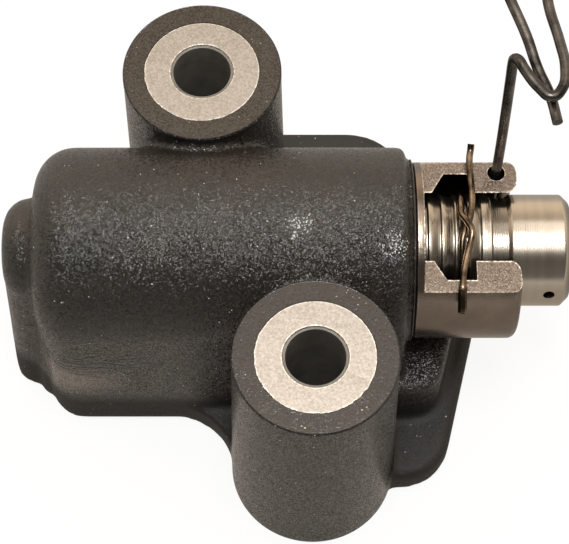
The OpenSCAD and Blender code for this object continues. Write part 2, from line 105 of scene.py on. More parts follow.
def length(label, text, value, **limits):
    """Length property of a piece, from a value in mm."""
    return FloatProperty(name=label, description=text, default=value * MM, precision=5,
                         unit="LENGTH", **limits)


class TensionerSizes(PropertyGroup):
    """Sizes of the visible pieces."""

    skin_voxel: length("Moulding Detail", "Cell size of the housing's moulded skin", 0.44,
                       min=0.25 * MM, max=1 * MM)
    bolt_hole_r: length("Bolt Hole Radius", "Radius of the hole through a bush", 3.3)
    bush_edge: length("Bush Edge", "Rounding of a bush's outer rim", 0.07)
    steel_edge: length("Steel Edge", "Rounding of the sleeve's cut edges", 0.1)
    plunger_edge: length("Plunger Edge", "Rounding of the plunger's groove edges", 0.05)
    nose_round: length("Nose Rounding", "Rounding of the plunger's nose chamfer", 0.14)
    ring_wire: length("Ring Wire", "Diameter of the ratchet ring's wire", 0.78)
    ring_back: length("Ring Setback", "Distance of the ratchet ring from the sleeve's end", 6.155)
    rear_leg: length("Rear Leg", "Reach of the ring's rear leg from the plunger axis", 9.8)
    front_leg: length("Front Leg", "Reach of the ring's front leg from the plunger axis", 10.3)
    pin_wire: length("Pin Wire", "Diameter of the lock pin's wire", 1.16)
    pin_back: length("Pin Setback", "Distance of the lock pin from the sleeve's end", 2.3)
    pin_rise: length("Pin Rise", "Height of the pin's loop above the plunger axis", 30)


def colour(label, text, value):
    """Colour property of a finish."""
    return FloatVectorProperty(name=label, description=text, default=value, size=3,
                               min=0, max=1, subtype="COLOR")


class TensionerColours(PropertyGroup):
    """Colours of the finishes, as linear values."""

    plastic: colour(
        "Housing Plastic", "Glass filled plastic of the housing", (0.0112, 0.0098, 0.0083))
    plastic_pale: colour(
        "Pale Plastic", "Plastic where fibres and dust lie at the skin", (0.026, 0.0205, 0.0155))
    # Painted highlight: pale streaks standing in for the light that the wall's rounded corner
    # catches
    plastic_sheen: colour(
        "Plastic Swirl", "Pale swirl of the melt on the wall's corner", (0.150, 0.126, 0.105))
    # Painted highlights: pale specks on the grain's facets standing in for sparkle, thickest in the
    # two spots on the barrel
    painted_glint_tone: colour(
        "Glint", "Bright facets of the grain, thickest where it is rubbed", (0.40, 0.40, 0.39))
    boss_top: colour("Boss Top", "Browner skin of the bosses' flat tops", (0.034, 0.022, 0.0125))
    bush: colour("Bush Steel", "Plated steel of the bolt bushes", (0.362, 0.325, 0.287))
    # Darker, duller steel inside the bolt holes: painted shade in the deep holes
    bore: colour("Bore Steel", "Dark steel inside the bolt holes", (0.16, 0.15, 0.13))
    sleeve: colour("Sleeve Steel", "Hardened steel of the sleeve", (0.19, 0.153, 0.125))
    plunger: colour("Plunger Steel", "Ground steel of the plunger", (0.50, 0.44, 0.37))
    ring: colour("Ring Wire", "Tempered wire of the ratchet ring", (0.135, 0.097, 0.064))
    pin: colour("Pin Wire", "Oiled wire of the lock pin", (0.060, 0.054, 0.048))
    spring: colour("Spring Wire", "Bright wire of the springs", (0.55, 0.53, 0.50))
    plug: colour("Plug Plastic", "Natural plastic of the vent plug", (0.55, 0.50, 0.40))
    dust: colour("Dust", "Pale crumbs on the bosses", (0.50, 0.44, 0.36))
    rubber: colour("Seal Rubber", "Black rubber of the inlet seal", (0.018, 0.018, 0.018))


def sizes():
    return bpy.context.scene.tensioner_sizes


def colours():
    return bpy.context.scene.tensioner_colours


# Selecting and editing


def only(piece):
    """Makes a piece the one that operators act on."""
    bpy.ops.object.select_all(action="DESELECT")
    piece.select_set(True)
    bpy.context.view_layer.objects.active = piece


def named(name):
    """Names the active piece and its mesh."""
    piece = bpy.context.active_object
    piece.name = name
    piece.data.name = name
    return piece


def edit(piece, mode="EDGE"):
    """Opens a piece in edit mode with nothing selected."""
    only(piece)
    bpy.ops.object.mode_set(mode="EDIT")
    bpy.ops.mesh.select_mode(type=mode)
    bpy.ops.mesh.select_all(action="DESELECT")


def done():
    bpy.ops.object.mode_set(mode="OBJECT")


def pick(piece, parts, test):
    """Selects the faces, edges or vertices that pass a test."""
    mesh = bmesh.from_edit_mesh(piece.data)
    for part in getattr(mesh, parts):
        part.select_set(test(part))
    mesh.select_flush_mode()
    bmesh.update_edit_mesh(piece.data)


def joined(name, pieces):
    """Joins pieces into the first one, under a name."""
    only(pieces[0])
    for piece in pieces:
        piece.select_set(True)
    bpy.ops.object.join()
    return named(name)


def apply_all(piece):
    """Applies a piece's modifiers in order."""
    only(piece)
    for modifier in list(piece.modifiers):
        bpy.ops.object.modifier_apply(modifier=modifier.name)


def cad_copy(node, name):
    """Copy of a frame node as one joined mesh, free to be shaped."""
    only(frame["nodes"][node])
    bpy.ops.object.duplicate()
    piece = named(name)
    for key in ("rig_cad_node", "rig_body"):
        if key in piece:
            del piece[key]
    piece.parent = None
    piece.data.materials.clear()
    bpy.ops.mesh.customdata_custom_splitnormals_clear()
    edit(piece, "VERT")
    bpy.ops.mesh.select_all(action="SELECT")
    bpy.ops.mesh.remove_doubles(threshold=MERGE)
    done()
    return piece


def finish_piece(piece, material, body, slot, *nodes):
    """Gives a piece its finish, its body and the frame nodes it stands for."""
    piece.data.materials.clear()
    piece.data.materials.append(material)
    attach(piece, body)
    if nodes:
        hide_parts(*nodes)


def bevelled_copy(node, name, width, rounded=None, radius=0):
    """Copy of a machined node with its sharp edges broken, and the chosen ones rounded more."""
    piece = cad_copy(node, name)
    edit(piece, "FACE")
    bpy.ops.mesh.select_all(action="SELECT")
    bpy.ops.mesh.dissolve_limited(angle_limit=math.radians(0.2))
    if rounded is not None:
        bpy.ops.mesh.select_mode(type="EDGE")
        pick(piece, "edges", rounded)
        bpy.ops.mesh.bevel(offset=radius, segments=4)
    done()
    bpy.ops.object.modifier_add(type="BEVEL")
    bevel = piece.modifiers[-1]
    bevel.width = width
    bevel.segments = 3
    bevel.limit_method = "ANGLE"
    bevel.angle_limit = SHARP_TURN
    bevel.use_clamp_overlap = True
    apply_all(piece)
    even_shading(piece)
    return piece


def even_shading(piece):
    """Smooth shading between small turns, with the large faces kept flat."""
    only(piece)
    bpy.ops.object.shade_smooth_by_angle(angle=math.radians(30))
    bpy.ops.object.modifier_add(type="WEIGHTED_NORMAL")
    piece.modifiers[-1].keep_sharp = True
    apply_all(piece)


def wire_piece(name, points, diameter):
    """Round wire bent through a row of points, with closed ends."""
    bpy.ops.object.select_all(action="DESELECT")
    bpy.ops.curve.primitive_bezier_curve_add(location=(0, 0, 0))
    piece = named(name)
    wire = piece.data
    wire.splines.clear()
    wire.dimensions = "3D"
    spline = wire.splines.new("BEZIER")
    spline.bezier_points.add(len(points) - 1)
    for knot, point in zip(spline.bezier_points, points):
        knot.co = point
        knot.handle_left_type = "AUTO"
        knot.handle_right_type = "AUTO"
    spline.resolution_u = 6
    wire.bevel_depth = diameter / 2
    wire.bevel_resolution = 4
    wire.use_fill_caps = True
    only(piece)
    bpy.ops.object.convert(target="MESH")
    piece = bpy.context.active_object
    edit(piece, "VERT")
    bpy.ops.mesh.select_all(action="SELECT")
    bpy.ops.mesh.remove_doubles(threshold=MERGE)
    bpy.ops.mesh.normals_make_consistent(inside=False)
    done()
    bpy.ops.object.shade_smooth_by_angle(angle=math.radians(50))
    return piece


# Shader helpers


def put(tree, kind, **values):
    """Adds a node; names of sockets and settings are set from the values."""
    node = tree.nodes.new(kind)
    for key, value in values.items():
        label = key.replace("_", " ")
        if label in node.inputs and not hasattr(node, key):
            node.inputs[label].default_value = value
        else:
            setattr(node, key, value)
    return node


def tie(tree, source, target):
    tree.links.new(source, target)


def new_group(name, inputs, outputs):
    """Empty shader group with its sockets."""
    tree = bpy.data.node_groups.new(name, "ShaderNodeTree")
    for label, kind, default in inputs:
        socket = tree.interface.new_socket(label, in_out="INPUT", socket_type=kind)
        if default is not None:
            socket.default_value = default
    for label in outputs:
        kind = "NodeSocketVector" if label == "Normal" else "NodeSocketFloat"
        tree.interface.new_socket(label, in_out="OUTPUT", socket_type=kind)
    return tree, tree.nodes.new("NodeGroupInput"), tree.nodes.new("NodeGroupOutput")


def grain_group():
    """Fine cast grain: height for a bump, a patchy mask and rare specks."""
    name = "Fine Grain"
    if name in bpy.data.node_groups:
        return bpy.data.node_groups[name]
    tree, given, out = new_group(
        name,
        [("Vector", "NodeSocketVector", None), ("Cells per Metre", "NodeSocketFloat", 5000.0),
         ("Patches per Metre", "NodeSocketFloat", 120.0)],
        ["Height", "Patches", "Specks"])
    fine = put(tree, "ShaderNodeTexNoise", Detail=2.5, Roughness=0.65)
    patches = put(tree, "ShaderNodeTexNoise", Detail=3.0, Roughness=0.55)
    specks = put(tree, "ShaderNodeTexVoronoi", feature="F1")
    shade = put(tree, "ShaderNodeSeparateColor")
    for node in (fine, patches, specks):
        tie(tree, given.outputs["Vector"], node.inputs["Vector"])
    tie(tree, given.outputs["Cells per Metre"], fine.inputs["Scale"])
    tie(tree, times(tree, given.outputs["Cells per Metre"], 0.55), specks.inputs["Scale"])
    tie(tree, given.outputs["Patches per Metre"], patches.inputs["Scale"])
    tie(tree, specks.outputs["Color"], shade.inputs[0])
    near = join(tree, "LESS_THAN", specks.outputs["Distance"], 0.3)
    rare = join(tree, "GREATER_THAN", shade.outputs[0], 0.992)
    tie(tree, fine.outputs["Fac"], out.inputs["Height"])
    tie(tree, patches.outputs["Fac"], out.inputs["Patches"])
    tie(tree, times(tree, near, rare), out.inputs["Specks"])
    return tree


def flake_group():
    """Small facets of a grainy skin, each tilted its own way and with a chance of its own."""
    name = "Tilted Grain"
    if name in bpy.data.node_groups:
        return bpy.data.node_groups[name]
    tree, given, out = new_group(
        name,
        [("Vector", "NodeSocketVector", None), ("Normal", "NodeSocketVector", None),
         ("Cells per Metre", "NodeSocketFloat", 6000.0), ("Tilt", "NodeSocketFloat", 0.4)],
        ["Normal", "Chance"])
    cells = put(tree, "ShaderNodeTexVoronoi", feature="F1")
    middle = put(tree, "ShaderNodeVectorMath", operation="SUBTRACT")
    middle.inputs[1].default_value = (0.5, 0.5, 0.5)
    lean = put(tree, "ShaderNodeVectorMath", operation="SCALE")
    both = put(tree, "ShaderNodeVectorMath", operation="ADD")
    even = put(tree, "ShaderNodeVectorMath", operation="NORMALIZE")
    tie(tree, given.outputs["Vector"], cells.inputs["Vector"])
    tie(tree, given.outputs["Cells per Metre"], cells.inputs["Scale"])
    tie(tree, cells.outputs["Color"], middle.inputs[0])
    tie(tree, middle.outputs[0], lean.inputs[0])
    tie(tree, given.outputs["Tilt"], lean.inputs["Scale"])
    tie(tree, lean.outputs[0], both.inputs[0])
    tie(tree, given.outputs["Normal"], both.inputs[1])
    tie(tree, both.outputs[0], even.inputs[0])
    tie(tree, even.outputs[0], out.inputs["Normal"])
    shade = put(tree, "ShaderNodeSeparateColor")
    tie(tree, cells.outputs["Color"], shade.inputs[0])
    tie(tree, shade.outputs["Blue"], out.inputs["Chance"])
    return tree


def edge_group():
    """Bright worn edges: a mask where the surface turns within a radius, broken up by noise."""
    name = "Edge Wear"
    if name in bpy.data.node_groups:
        return bpy.data.node_groups[name]
    tree, given, out = new_group(
        name,
        [("Vector", "NodeSocketVector", None), ("Radius", "NodeSocketFloat", 0.0002)],
        ["Wear"])
    rounded = put(tree, "ShaderNodeBevel", samples=4)
    flat = put(tree, "ShaderNodeNewGeometry")
    turn = put(tree, "ShaderNodeVectorMath", operation="DOT_PRODUCT")
    chips = put(tree, "ShaderNodeTexNoise", Scale=2600.0, Detail=3.0)
    tie(tree, given.outputs["Radius"], rounded.inputs["Radius"])
    tie(tree, given.outputs["Vector"], chips.inputs["Vector"])
    tie(tree, rounded.outputs["Normal"], turn.inputs[0])
    tie(tree, flat.outputs["Normal"], turn.inputs[1])
    edges = span(tree, turn.outputs["Value"], 0, 1, 0.995, 0.93)
    broken = span(tree, chips.outputs["Fac"], 0, 1, 0.36, 0.58)
    tie(tree, times(tree, edges, broken), out.inputs["Wear"])
    return tree


def lines_group():
    """Turning marks: fine rings about the plunger axis, with slow changes between them."""
    name = "Turning Marks"
    if name in bpy.data.node_groups:
        return bpy.data.node_groups[name]
    tree, given, out = new_group(
        name,
        [("Vector", "NodeSocketVector", None), ("Lines per Metre", "NodeSocketFloat", 9000.0)],
        ["Height", "Bands"])
    along = put(tree, "ShaderNodeMapping")
    along.inputs["Scale"].default_value = (1, 0.004, 0.004)
    fine = put(tree, "ShaderNodeTexNoise", Detail=2.0, Roughness=0.7)
    bands = put(tree, "ShaderNodeTexNoise", Scale=900.0, Detail=2.0)
    ridges = put(tree, "ShaderNodeTexWave", bands_direction="X", Scale=1160.0, Distortion=0.6)
    tie(tree, given.outputs["Vector"], along.inputs["Vector"])
    for node in (fine, bands, ridges):
        tie(tree, along.outputs[0], node.inputs["Vector"])
    tie(tree, given.outputs["Lines per Metre"], fine.inputs["Scale"])
    both = join(tree, "ADD", fine.outputs["Fac"], ridges.outputs["Fac"])
    tie(tree, both, out.inputs["Height"])
    tie(tree, bands.outputs["Fac"], out.inputs["Bands"])
    return tree


def zone_group():
    """Zone round an axis or a point: 1 within the inner radius, falling to 0 at the outer one."""
    name = "Round Zone"
    if name in bpy.data.node_groups:
        return bpy.data.node_groups[name]
    tree, given, out = new_group(
        name,
        [("Vector", "NodeSocketVector", None), ("Centre", "NodeSocketVector", None),
         ("Flatten", "NodeSocketVector", (1, 1, 0)),
         ("Inner", "NodeSocketFloat", 0.001), ("Outer", "NodeSocketFloat", 0.002)],
        ["Inside"])
    offset = put(tree, "ShaderNodeVectorMath", operation="SUBTRACT")
    level = put(tree, "ShaderNodeVectorMath", operation="MULTIPLY")
    reach = put(tree, "ShaderNodeVectorMath", operation="LENGTH")
    fade = put(tree, "ShaderNodeMapRange")
    fade.inputs["To Min"].default_value = 1
    fade.inputs["To Max"].default_value = 0
    tie(tree, given.outputs["Vector"], offset.inputs[0])
    tie(tree, given.outputs["Centre"], offset.inputs[1])
    tie(tree, offset.outputs[0], level.inputs[0])
    tie(tree, given.outputs["Flatten"], level.inputs[1])
    tie(tree, level.outputs[0], reach.inputs[0])
    tie(tree, reach.outputs["Value"], fade.inputs["Value"])
    tie(tree, given.outputs["Inner"], fade.inputs["From Min"])
    tie(tree, given.outputs["Outer"], fade.inputs["From Max"])
    tie(tree, fade.outputs[0], out.inputs["Inside"])
    return tree


def crease_group():
    """Thin creases where the melt folded as it set: the middle lines of a stretched noise."""
    name = "Melt Creases"
    if name in bpy.data.node_groups:
        return bpy.data.node_groups[name]
    tree, given, out = new_group(
        name,
        [("Vector", "NodeSocketVector", None), ("Lines per Metre", "NodeSocketFloat", 420.0)],
        ["Creases"])
    along = put(tree, "ShaderNodeMapping")
    along.inputs["Scale"].default_value = (0.32, 1, 1)
    along.inputs["Rotation"].default_value = (0, math.radians(14), 0)
    folds = put(tree, "ShaderNodeTexNoise", Detail=2.0, Roughness=0.6, Distortion=0.7)
    tie(tree, given.outputs["Vector"], along.inputs["Vector"])
    tie(tree, along.outputs[0], folds.inputs["Vector"])
    tie(tree, given.outputs["Lines per Metre"], folds.inputs["Scale"])
    middle = join(tree, "ABSOLUTE", join(tree, "SUBTRACT", folds.outputs["Fac"], 0.5), 0)
    tie(tree, span(tree, middle, 1, 0, 0, 0.05), out.inputs["Creases"])
    return tree


def zone(tree, place, centre, inner, outer, flatten=(1, 1, 0)):
    """Mask of a zone, with radii in mm; flatten says how much each axis counts."""
    node = use_group(tree, zone_group(), place, Centre=tuple(centre), Flatten=flatten,
                     Inner=inner * MM, Outer=outer * MM)
    return node.outputs["Inside"]


def round_bosses(tree, place, inner, outer):
    """Mask of a zone round both bolt axes."""
    masks = [zone(tree, place, axis, inner, outer) for axis in (FRONT_AXIS, REAR_AXIS)]
    return join(tree, "MAXIMUM", *masks)


def join(tree, kind, first, second):
    """Two values, or a value and a number, by a kind of sum."""
    node = put(tree, "ShaderNodeMath", operation=kind)
    for slot, value in enumerate((first, second)):
        if isinstance(value, (int, float)):
            node.inputs[slot].default_value = value
        else:
            tie(tree, value, node.inputs[slot])
    return node.outputs[0]


def times(tree, first, second):
    return join(tree, "MULTIPLY", first, second)


def start_material(name):
    """Material with its shader and the piece's own coordinates."""
    material = bpy.data.materials.new(name)
    material.use_nodes = True
    tree = material.node_tree
    tree.nodes.clear()
    out = tree.nodes.new("ShaderNodeOutputMaterial")
    shader = tree.nodes.new("ShaderNodeBsdfPrincipled")
    tie(tree, shader.outputs[0], out.inputs["Surface"])
    place = tree.nodes.new("ShaderNodeTexCoord").outputs["Object"]
    return material, tree, shader, place


def use_group(tree, group, place, **values):
    node = tree.nodes.new("ShaderNodeGroup")
    node.node_tree = group
    tie(tree, place, node.inputs["Vector"])
    for key, value in values.items():
        node.inputs[key.replace("_", " ")].default_value = value
    return node


def ramp(tree, source, low, high, start=0.35, end=0.65):
    """Colour that runs from low to high as a value rises."""
    node = tree.nodes.new("ShaderNodeValToRGB")
    first, last = node.color_ramp.elements
    first.position, last.position = start, end
    first.color = (*low, 1)
    last.color = (*high, 1)
    tie(tree, source, node.inputs[0])
    return node.outputs["Color"]


def span(tree, source, low, high, start=0.3, end=0.7):
    """Value that runs from low to high as another rises."""
    node = tree.nodes.new("ShaderNodeMapRange")
    node.inputs["From Min"].default_value = start
    node.inputs["From Max"].default_value = end
    node.inputs["To Min"].default_value = low
    node.inputs["To Max"].default_value = high
    tie(tree, source, node.inputs["Value"])
    return node.outputs[0]


def blend_colour(tree, factor, under, over):
    """Lays one colour over another by a mask."""
    node = tree.nodes.new("ShaderNodeMix")
    node.data_type = "RGBA"
    tie(tree, factor, node.inputs["Factor"])
    tie(tree, under, node.inputs["A"])
    if isinstance(over, tuple):
        node.inputs["B"].default_value = (*over, 1)
    else:
        tie(tree, over, node.inputs["B"])
    return node.outputs["Result"]


def bump(tree, height, strength, depth, under=None):
    node = tree.nodes.new("ShaderNodeBump")
    node.inputs["Strength"].default_value = strength
    node.inputs["Distance"].default_value = depth
    tie(tree, height, node.inputs["Height"])
    if under is not None:
        tie(tree, under, node.inputs["Normal"])
    return node.outputs["Normal"]


def flakes(tree, place, cells, tilt, under):
    """Sparkling grain laid over a surface normal: its normal and each facet's own chance."""
    node = use_group(tree, flake_group(), place, Cells_per_Metre=cells)
    tie(tree, tilt, node.inputs["Tilt"])
    tie(tree, under, node.inputs["Normal"])
    return node.outputs


def scaled(value, factor):
    return tuple(min(part * factor, 1) for part in value)


# Finishes


# Zones round the bolt axes as [inner, outer] radius in mm: a boss's flat top, its rim, along which
# a line of painted shade runs, and its wall
TOP_ZONE = (8.9, 9.0)
RIM_ZONE = (9.14, 9.2)
WALL_ZONE = (9.7, 9.9)
# Heights between which the flange's matt skin and the dark foot fade out
FLANGE_FADE = (5 * MM, 8 * MM)
FOOT_FADE = (3 * MM, 7 * MM)


def moulded_plastic():
    """Dark glass filled plastic: fine sparkling grain, fibre streaks and pale dusty patches, with
    painted shade at the foot, in the creases and along the boss rims, a painted highlight on the
    end wall's corner and painted glints.
    """
    name = "moulded_plastic"
    if name in bpy.data.materials:
        return bpy.data.materials[name]
    material, tree, shader, place = start_material(name)
    dark = tuple(colours().plastic)
    pale = tuple(colours().plastic_pale)
    grain = use_group(tree, grain_group(), place, Cells_per_Metre=5200.0, Patches_per_Metre=170.0)
    streak_map = put(tree, "ShaderNodeMapping")
    streak_map.inputs["Scale"].default_value = (1, 1, 0.22)
    streak_map.inputs["Rotation"].default_value = (0, math.radians(24), 0)
    streaks = put(tree, "ShaderNodeTexNoise", Scale=2600.0, Detail=3.0, Roughness=0.6)
    tie(tree, place, streak_map.inputs["Vector"])
    tie(tree, streak_map.outputs[0], streaks.inputs["Vector"])
    fibres = streaks.outputs["Fac"]
    parts = put(tree, "ShaderNodeSeparateXYZ")
    tie(tree, place, parts.inputs[0])
    height = parts.outputs["Z"]

    # Where the skin differs: tops of the bosses, painted shade along their rims, flange, a painted
    # highlight on the end wall's corner, creases with painted shade in them, and spots where
    # painted glints lie thick
    high = span(tree, height, 0, 1, BOSS_TOP - 1.4 * MM, BOSS_TOP - 0.6 * MM)
    front_top = times(tree, high, zone(tree, place, FRONT_AXIS, *TOP_ZONE))
    rear_top = times(tree, high, zone(tree, place, REAR_AXIS, *TOP_ZONE))
    tops = join(tree, "MAXIMUM", front_top, rear_top)
    # Thin line of painted shade along the outer top edge of each boss
    rims = times(tree, high, round_bosses(tree, place, *RIM_ZONE))
    rims = join(tree, "SUBTRACT", rims, tops)
    off_boss = join(tree, "SUBTRACT", 1.0, round_bosses(tree, place, *WALL_ZONE))
    low = times(tree, off_boss, span(tree, height, 1, 0, *FLANGE_FADE))
    # Painted highlight on the end wall's rounded corner, streaked by the fibres
    sheen = zone(tree, place, SHEEN_SPOT, 1.4, 5.4, (0.7, 1, 1.15))
    sheen = times(tree, sheen, span(tree, fibres, 0.7, 1, 0.38, 0.62))
    folded = use_group(tree, crease_group(), place).outputs["Creases"]
    folded = times(tree, folded, zone(tree, place, CREASED, 2.5, 8, (0.8, 1, 1.2)))
    spots = [zone(tree, place, Vector(spot) * MM, 0.1, 1.9, (1, 1, 1)) for spot in GLINT_SPOTS]
    shine = join(tree, "MAXIMUM", *spots)
    brown = join(tree, "SUBTRACT", tops, times(tree, front_top, 0.5))
    brown = times(tree, brown, span(tree, grain.outputs["Height"], 0.2, 1.3, 0.36, 0.64))
    foot_shade = span(tree, height, 0.7, 0, *FOOT_FADE)

    # Facets of the grain, calmer on the tops and the flange
    calm = times(tree, span(tree, rear_top, 1, 0.35, 0, 1), span(tree, front_top, 1, 0.22, 0, 1))
    calm = times(tree, calm, span(tree, low, 1, 0.4, 0, 1))
    coarse = bump(tree, fibres, 0.5, 0.08 * MM)
    coarse = bump(tree, join(tree, "SUBTRACT", 1.0, folded), 0.8, 0.2 * MM, coarse)
    fine = bump(tree, times(tree, grain.outputs["Height"], calm), 0.9, 0.08 * MM, coarse)
    tilt = times(tree, times(tree, calm, 0.72), span(tree, shine, 1, 0.6, 0, 1))
    facets = flakes(tree, place, 7600.0, tilt, fine)
    # Painted glints: a few facets, more of them in the spots, get a pale colour standing in for
    # their sparkle
    painted_glints = join(tree, "GREATER_THAN", facets["Chance"], span(tree, shine, 0.9993, 0.76, 0, 1))

    skin = ramp(tree, grain.outputs["Patches"], dark, pale, 0.42, 0.78)
    for mask, over in (
        (span(tree, fibres, 0, 0.45, 0.5, 0.75), pale),
        (foot_shade, scaled(dark, 0.45)),
        # painted highlight on the end wall's corner
        (sheen, tuple(colours().plastic_sheen)),
        # painted shade in the creases' folds
        (times(tree, folded, 0.7), scaled(dark, 0.4)),
        (brown, tuple(colours().boss_top)),
        # painted shade along the boss rims
        (times(tree, rims, 0.8), scaled(dark, 0.35)),
        (grain.outputs["Specks"], scaled(pale, 6)),
        # painted glints
        (painted_glints, tuple(colours().painted_glint_tone)),
    ):
        skin = blend_colour(tree, mask, skin, over)
    rough = span(tree, grain.outputs["Patches"], 0.12, 0.18)
    rough = join(tree, "ADD", rough, times(tree, low, 0.5))
    tie(tree, skin, shader.inputs["Base Color"])
    tie(tree, rough, shader.inputs["Roughness"])
    tie(tree, facets["Normal"], shader.inputs["Normal"])
    shader.inputs["Specular IOR Level"].default_value = 0.5
    return material


def plated_steel():
    """Plated bush steel: warm silver, mottled by the tumbling of loose parts, with bright rims."""
    name = "plated_steel"
    if name in bpy.data.materials:
        return bpy.data.materials[name]
    material, tree, shader, place = start_material(name)
    tone = tuple(colours().bush)
    grain = use_group(tree, grain_group(), place, Cells_per_Metre=4200.0, Patches_per_Metre=420.0)
    wear = use_group(tree, edge_group(), place, Radius=0.0003)
    mottle = ramp(tree, grain.outputs["Height"], scaled(tone, 0.76), scaled(tone, 1.16), 0.34, 0.66)
    mottle = blend_colour(tree, wear.outputs["Wear"], mottle, (0.95, 0.91, 0.84))
    tie(tree, mottle, shader.inputs["Base Color"])
    tie(tree, span(tree, grain.outputs["Patches"], 0.36, 0.50), shader.inputs["Roughness"])
    tie(tree, bump(tree, grain.outputs["Height"], 0.2, 0.03 * MM), shader.inputs["Normal"])
    shader.inputs["Metallic"].default_value = 1.0
    return material


def sleeve_steel():
    """Hardened sleeve steel: brown grey, sparkling where it is cut, bright along its edges."""
    name = "hardened_steel"
    if name in bpy.data.materials:
        return bpy.data.materials[name]
    material, tree, shader, place = start_material(name)
    tone = tuple(colours().sleeve)
    grain = use_group(tree, grain_group(), place, Cells_per_Metre=6500.0, Patches_per_Metre=260.0)
    marks = use_group(tree, lines_group(), place, Lines_per_Metre=7000.0)
    wear = use_group(tree, edge_group(), place, Radius=0.00022)
    head_r = SLEEVE[1].y / MM
    cut = zone(tree, place, (0, 0, AXIS_Z), head_r - 0.16, head_r - 0.06, (0, 1, 1))
    skin = ramp(tree, grain.outputs["Height"], scaled(tone, 0.84), scaled(tone, 1.14), 0.34, 0.68)
    lathed = ramp(
        tree, grain.outputs["Patches"], scaled(tone, 0.95), scaled(tone, 1.25), 0.34, 0.68)
    skin = blend_colour(tree, cut, lathed, skin)
    skin = blend_colour(tree, wear.outputs["Wear"], skin, (0.86, 0.78, 0.68))
    tie(tree, skin, shader.inputs["Base Color"])
    rough = span(tree, grain.outputs["Patches"], 0.2, 0.28)
    tie(tree, join(tree, "ADD", rough, times(tree, cut, 0.1)), shader.inputs["Roughness"])
    turned = bump(tree, marks.outputs["Height"], 0.12, 0.02 * MM)
    pitted = bump(tree, grain.outputs["Height"], 0.3, 0.05 * MM, turned)
    tilt = span(tree, cut, 0.05, 0.24, 0, 1)
    tie(tree, flakes(tree, place, 8200.0, tilt, pitted)["Normal"], shader.inputs["Normal"])
    shader.inputs["Metallic"].default_value = 1.0
    return material


def ground_steel():
    """Ground plunger steel: bright, with fine rings about its axis and painted shade darkening its
    grooves.
    """
    name = "ground_steel"
    if name in bpy.data.materials:
        return bpy.data.materials[name]
    material, tree, shader, place = start_material(name)
    tone = tuple(colours().plunger)
    marks = use_group(tree, lines_group(), place, Lines_per_Metre=11000.0)
    grain = use_group(tree, grain_group(), place, Cells_per_Metre=2400.0, Patches_per_Metre=300.0)
    skin = ramp(tree, marks.outputs["Bands"], scaled(tone, 0.96), scaled(tone, 1.03), 0.36, 0.64)
    stains = span(tree, grain.outputs["Patches"], 0, 0.25, 0.55, 0.8)
    skin = blend_colour(tree, stains, skin, scaled(tone, 0.6))
    # Painted shade darkens the steel in the grooves below the lands
    grooves = zone(tree, place, (0, 0, AXIS_Z), 5.9, 6.45, (0, 1, 1))
    skin = blend_colour(tree, times(tree, grooves, 0.75), skin, scaled(tone, 0.3))
    tie(tree, skin, shader.inputs["Base Color"])
    tie(tree, span(tree, marks.outputs["Bands"], 0.23, 0.27), shader.inputs["Roughness"])
    tie(tree, bump(tree, marks.outputs["Height"], 0.25, 0.014 * MM), shader.inputs["Normal"])
    shader.inputs["Metallic"].default_value = 1.0
    return material


def drawn_wire(name, tone, low, high, metal):
    """Drawn wire with scale and colour changes along it."""
    if name in bpy.data.materials:
        return bpy.data.materials[name]
    material, tree, shader, place = start_material(name)
    grain = use_group(tree, grain_group(), place, Cells_per_Metre=3800.0, Patches_per_Metre=520.0)
    skin = ramp(tree, grain.outputs["Patches"], scaled(tone, 0.45), scaled(tone, 2.0), 0.36, 0.68)
    tie(tree, skin, shader.inputs["Base Color"])
    tie(tree, span(tree, grain.outputs["Height"], low, high), shader.inputs["Roughness"])
    tie(tree, bump(tree, grain.outputs["Height"], 0.18, 0.03 * MM), shader.inputs["Normal"])
    shader.inputs["Metallic"].default_value = metal
    return material


def inner_finish(name, tone, rough, metal):
    """Finish of a piece inside the bore or under the mounting face."""
    if name in bpy.data.materials:
        return bpy.data.materials[name]
    material, tree, shader, place = start_material(name)
    grain = use_group(tree, grain_group(), place, Cells_per_Metre=3200.0, Patches_per_Metre=400.0)
    skin = ramp(tree, grain.outputs["Patches"], scaled(tone, 0.8), scaled(tone, 1.2))
    tie(tree, skin, shader.inputs["Base Color"])
    worn = span(tree, grain.outputs["Height"], rough * 0.85, rough * 1.15)
    tie(tree, worn, shader.inputs["Roughness"])
    tie(tree, bump(tree, grain.outputs["Height"], 0.12, 0.02 * MM), shader.inputs["Normal"])
    shader.inputs["Metallic"].default_value = metal
    return material


# Pieces


# Tapered root beside the end block, in mm: its place, its height and its radii at foot and top
ROOT_PLACE = (-25.3, -7.3)
ROOT_HEIGHT = 15
ROOT_R = (1.35, 0.4)

# Skin that is smoothed least, in mm: up from the mounting face, and round and below a boss's top
KEPT_FOOT = 0.4
KEPT_ROUND = 10.2
KEPT_BELOW = 1.2
# Height up to which the outline of the foot is smoothed, in mm
FOOT_HEIGHT = 2.6

# Beads round the mouth: [along the axis, radius, half thickness], in mm
BEADS = ((16.38, 11.2, 0.17), (16.95, 10.36, 0.12), (17.45, 10.36, 0.10))

# Ring on a boss's top, in mm: gap to the bush, rise over the skin, height, radius, edge and draft
CAP_GAP = 0.03
CAP_PROUD = 0.03
CAP_DEPTH = 1.0
CAP_R = 9.12
CAP_EDGE = 0.14
CAP_DRAFT = 0.015
# Ring at a boss's foot as [radius, height], in mm: out of the skin, round the edge and back into it
FOOT = ((9.0, 0.3), (9.4, 0), (9.58, 0), (9.64, 0.06), (9.632, 1.5), (9.5, 5))
RING_STEPS = 144

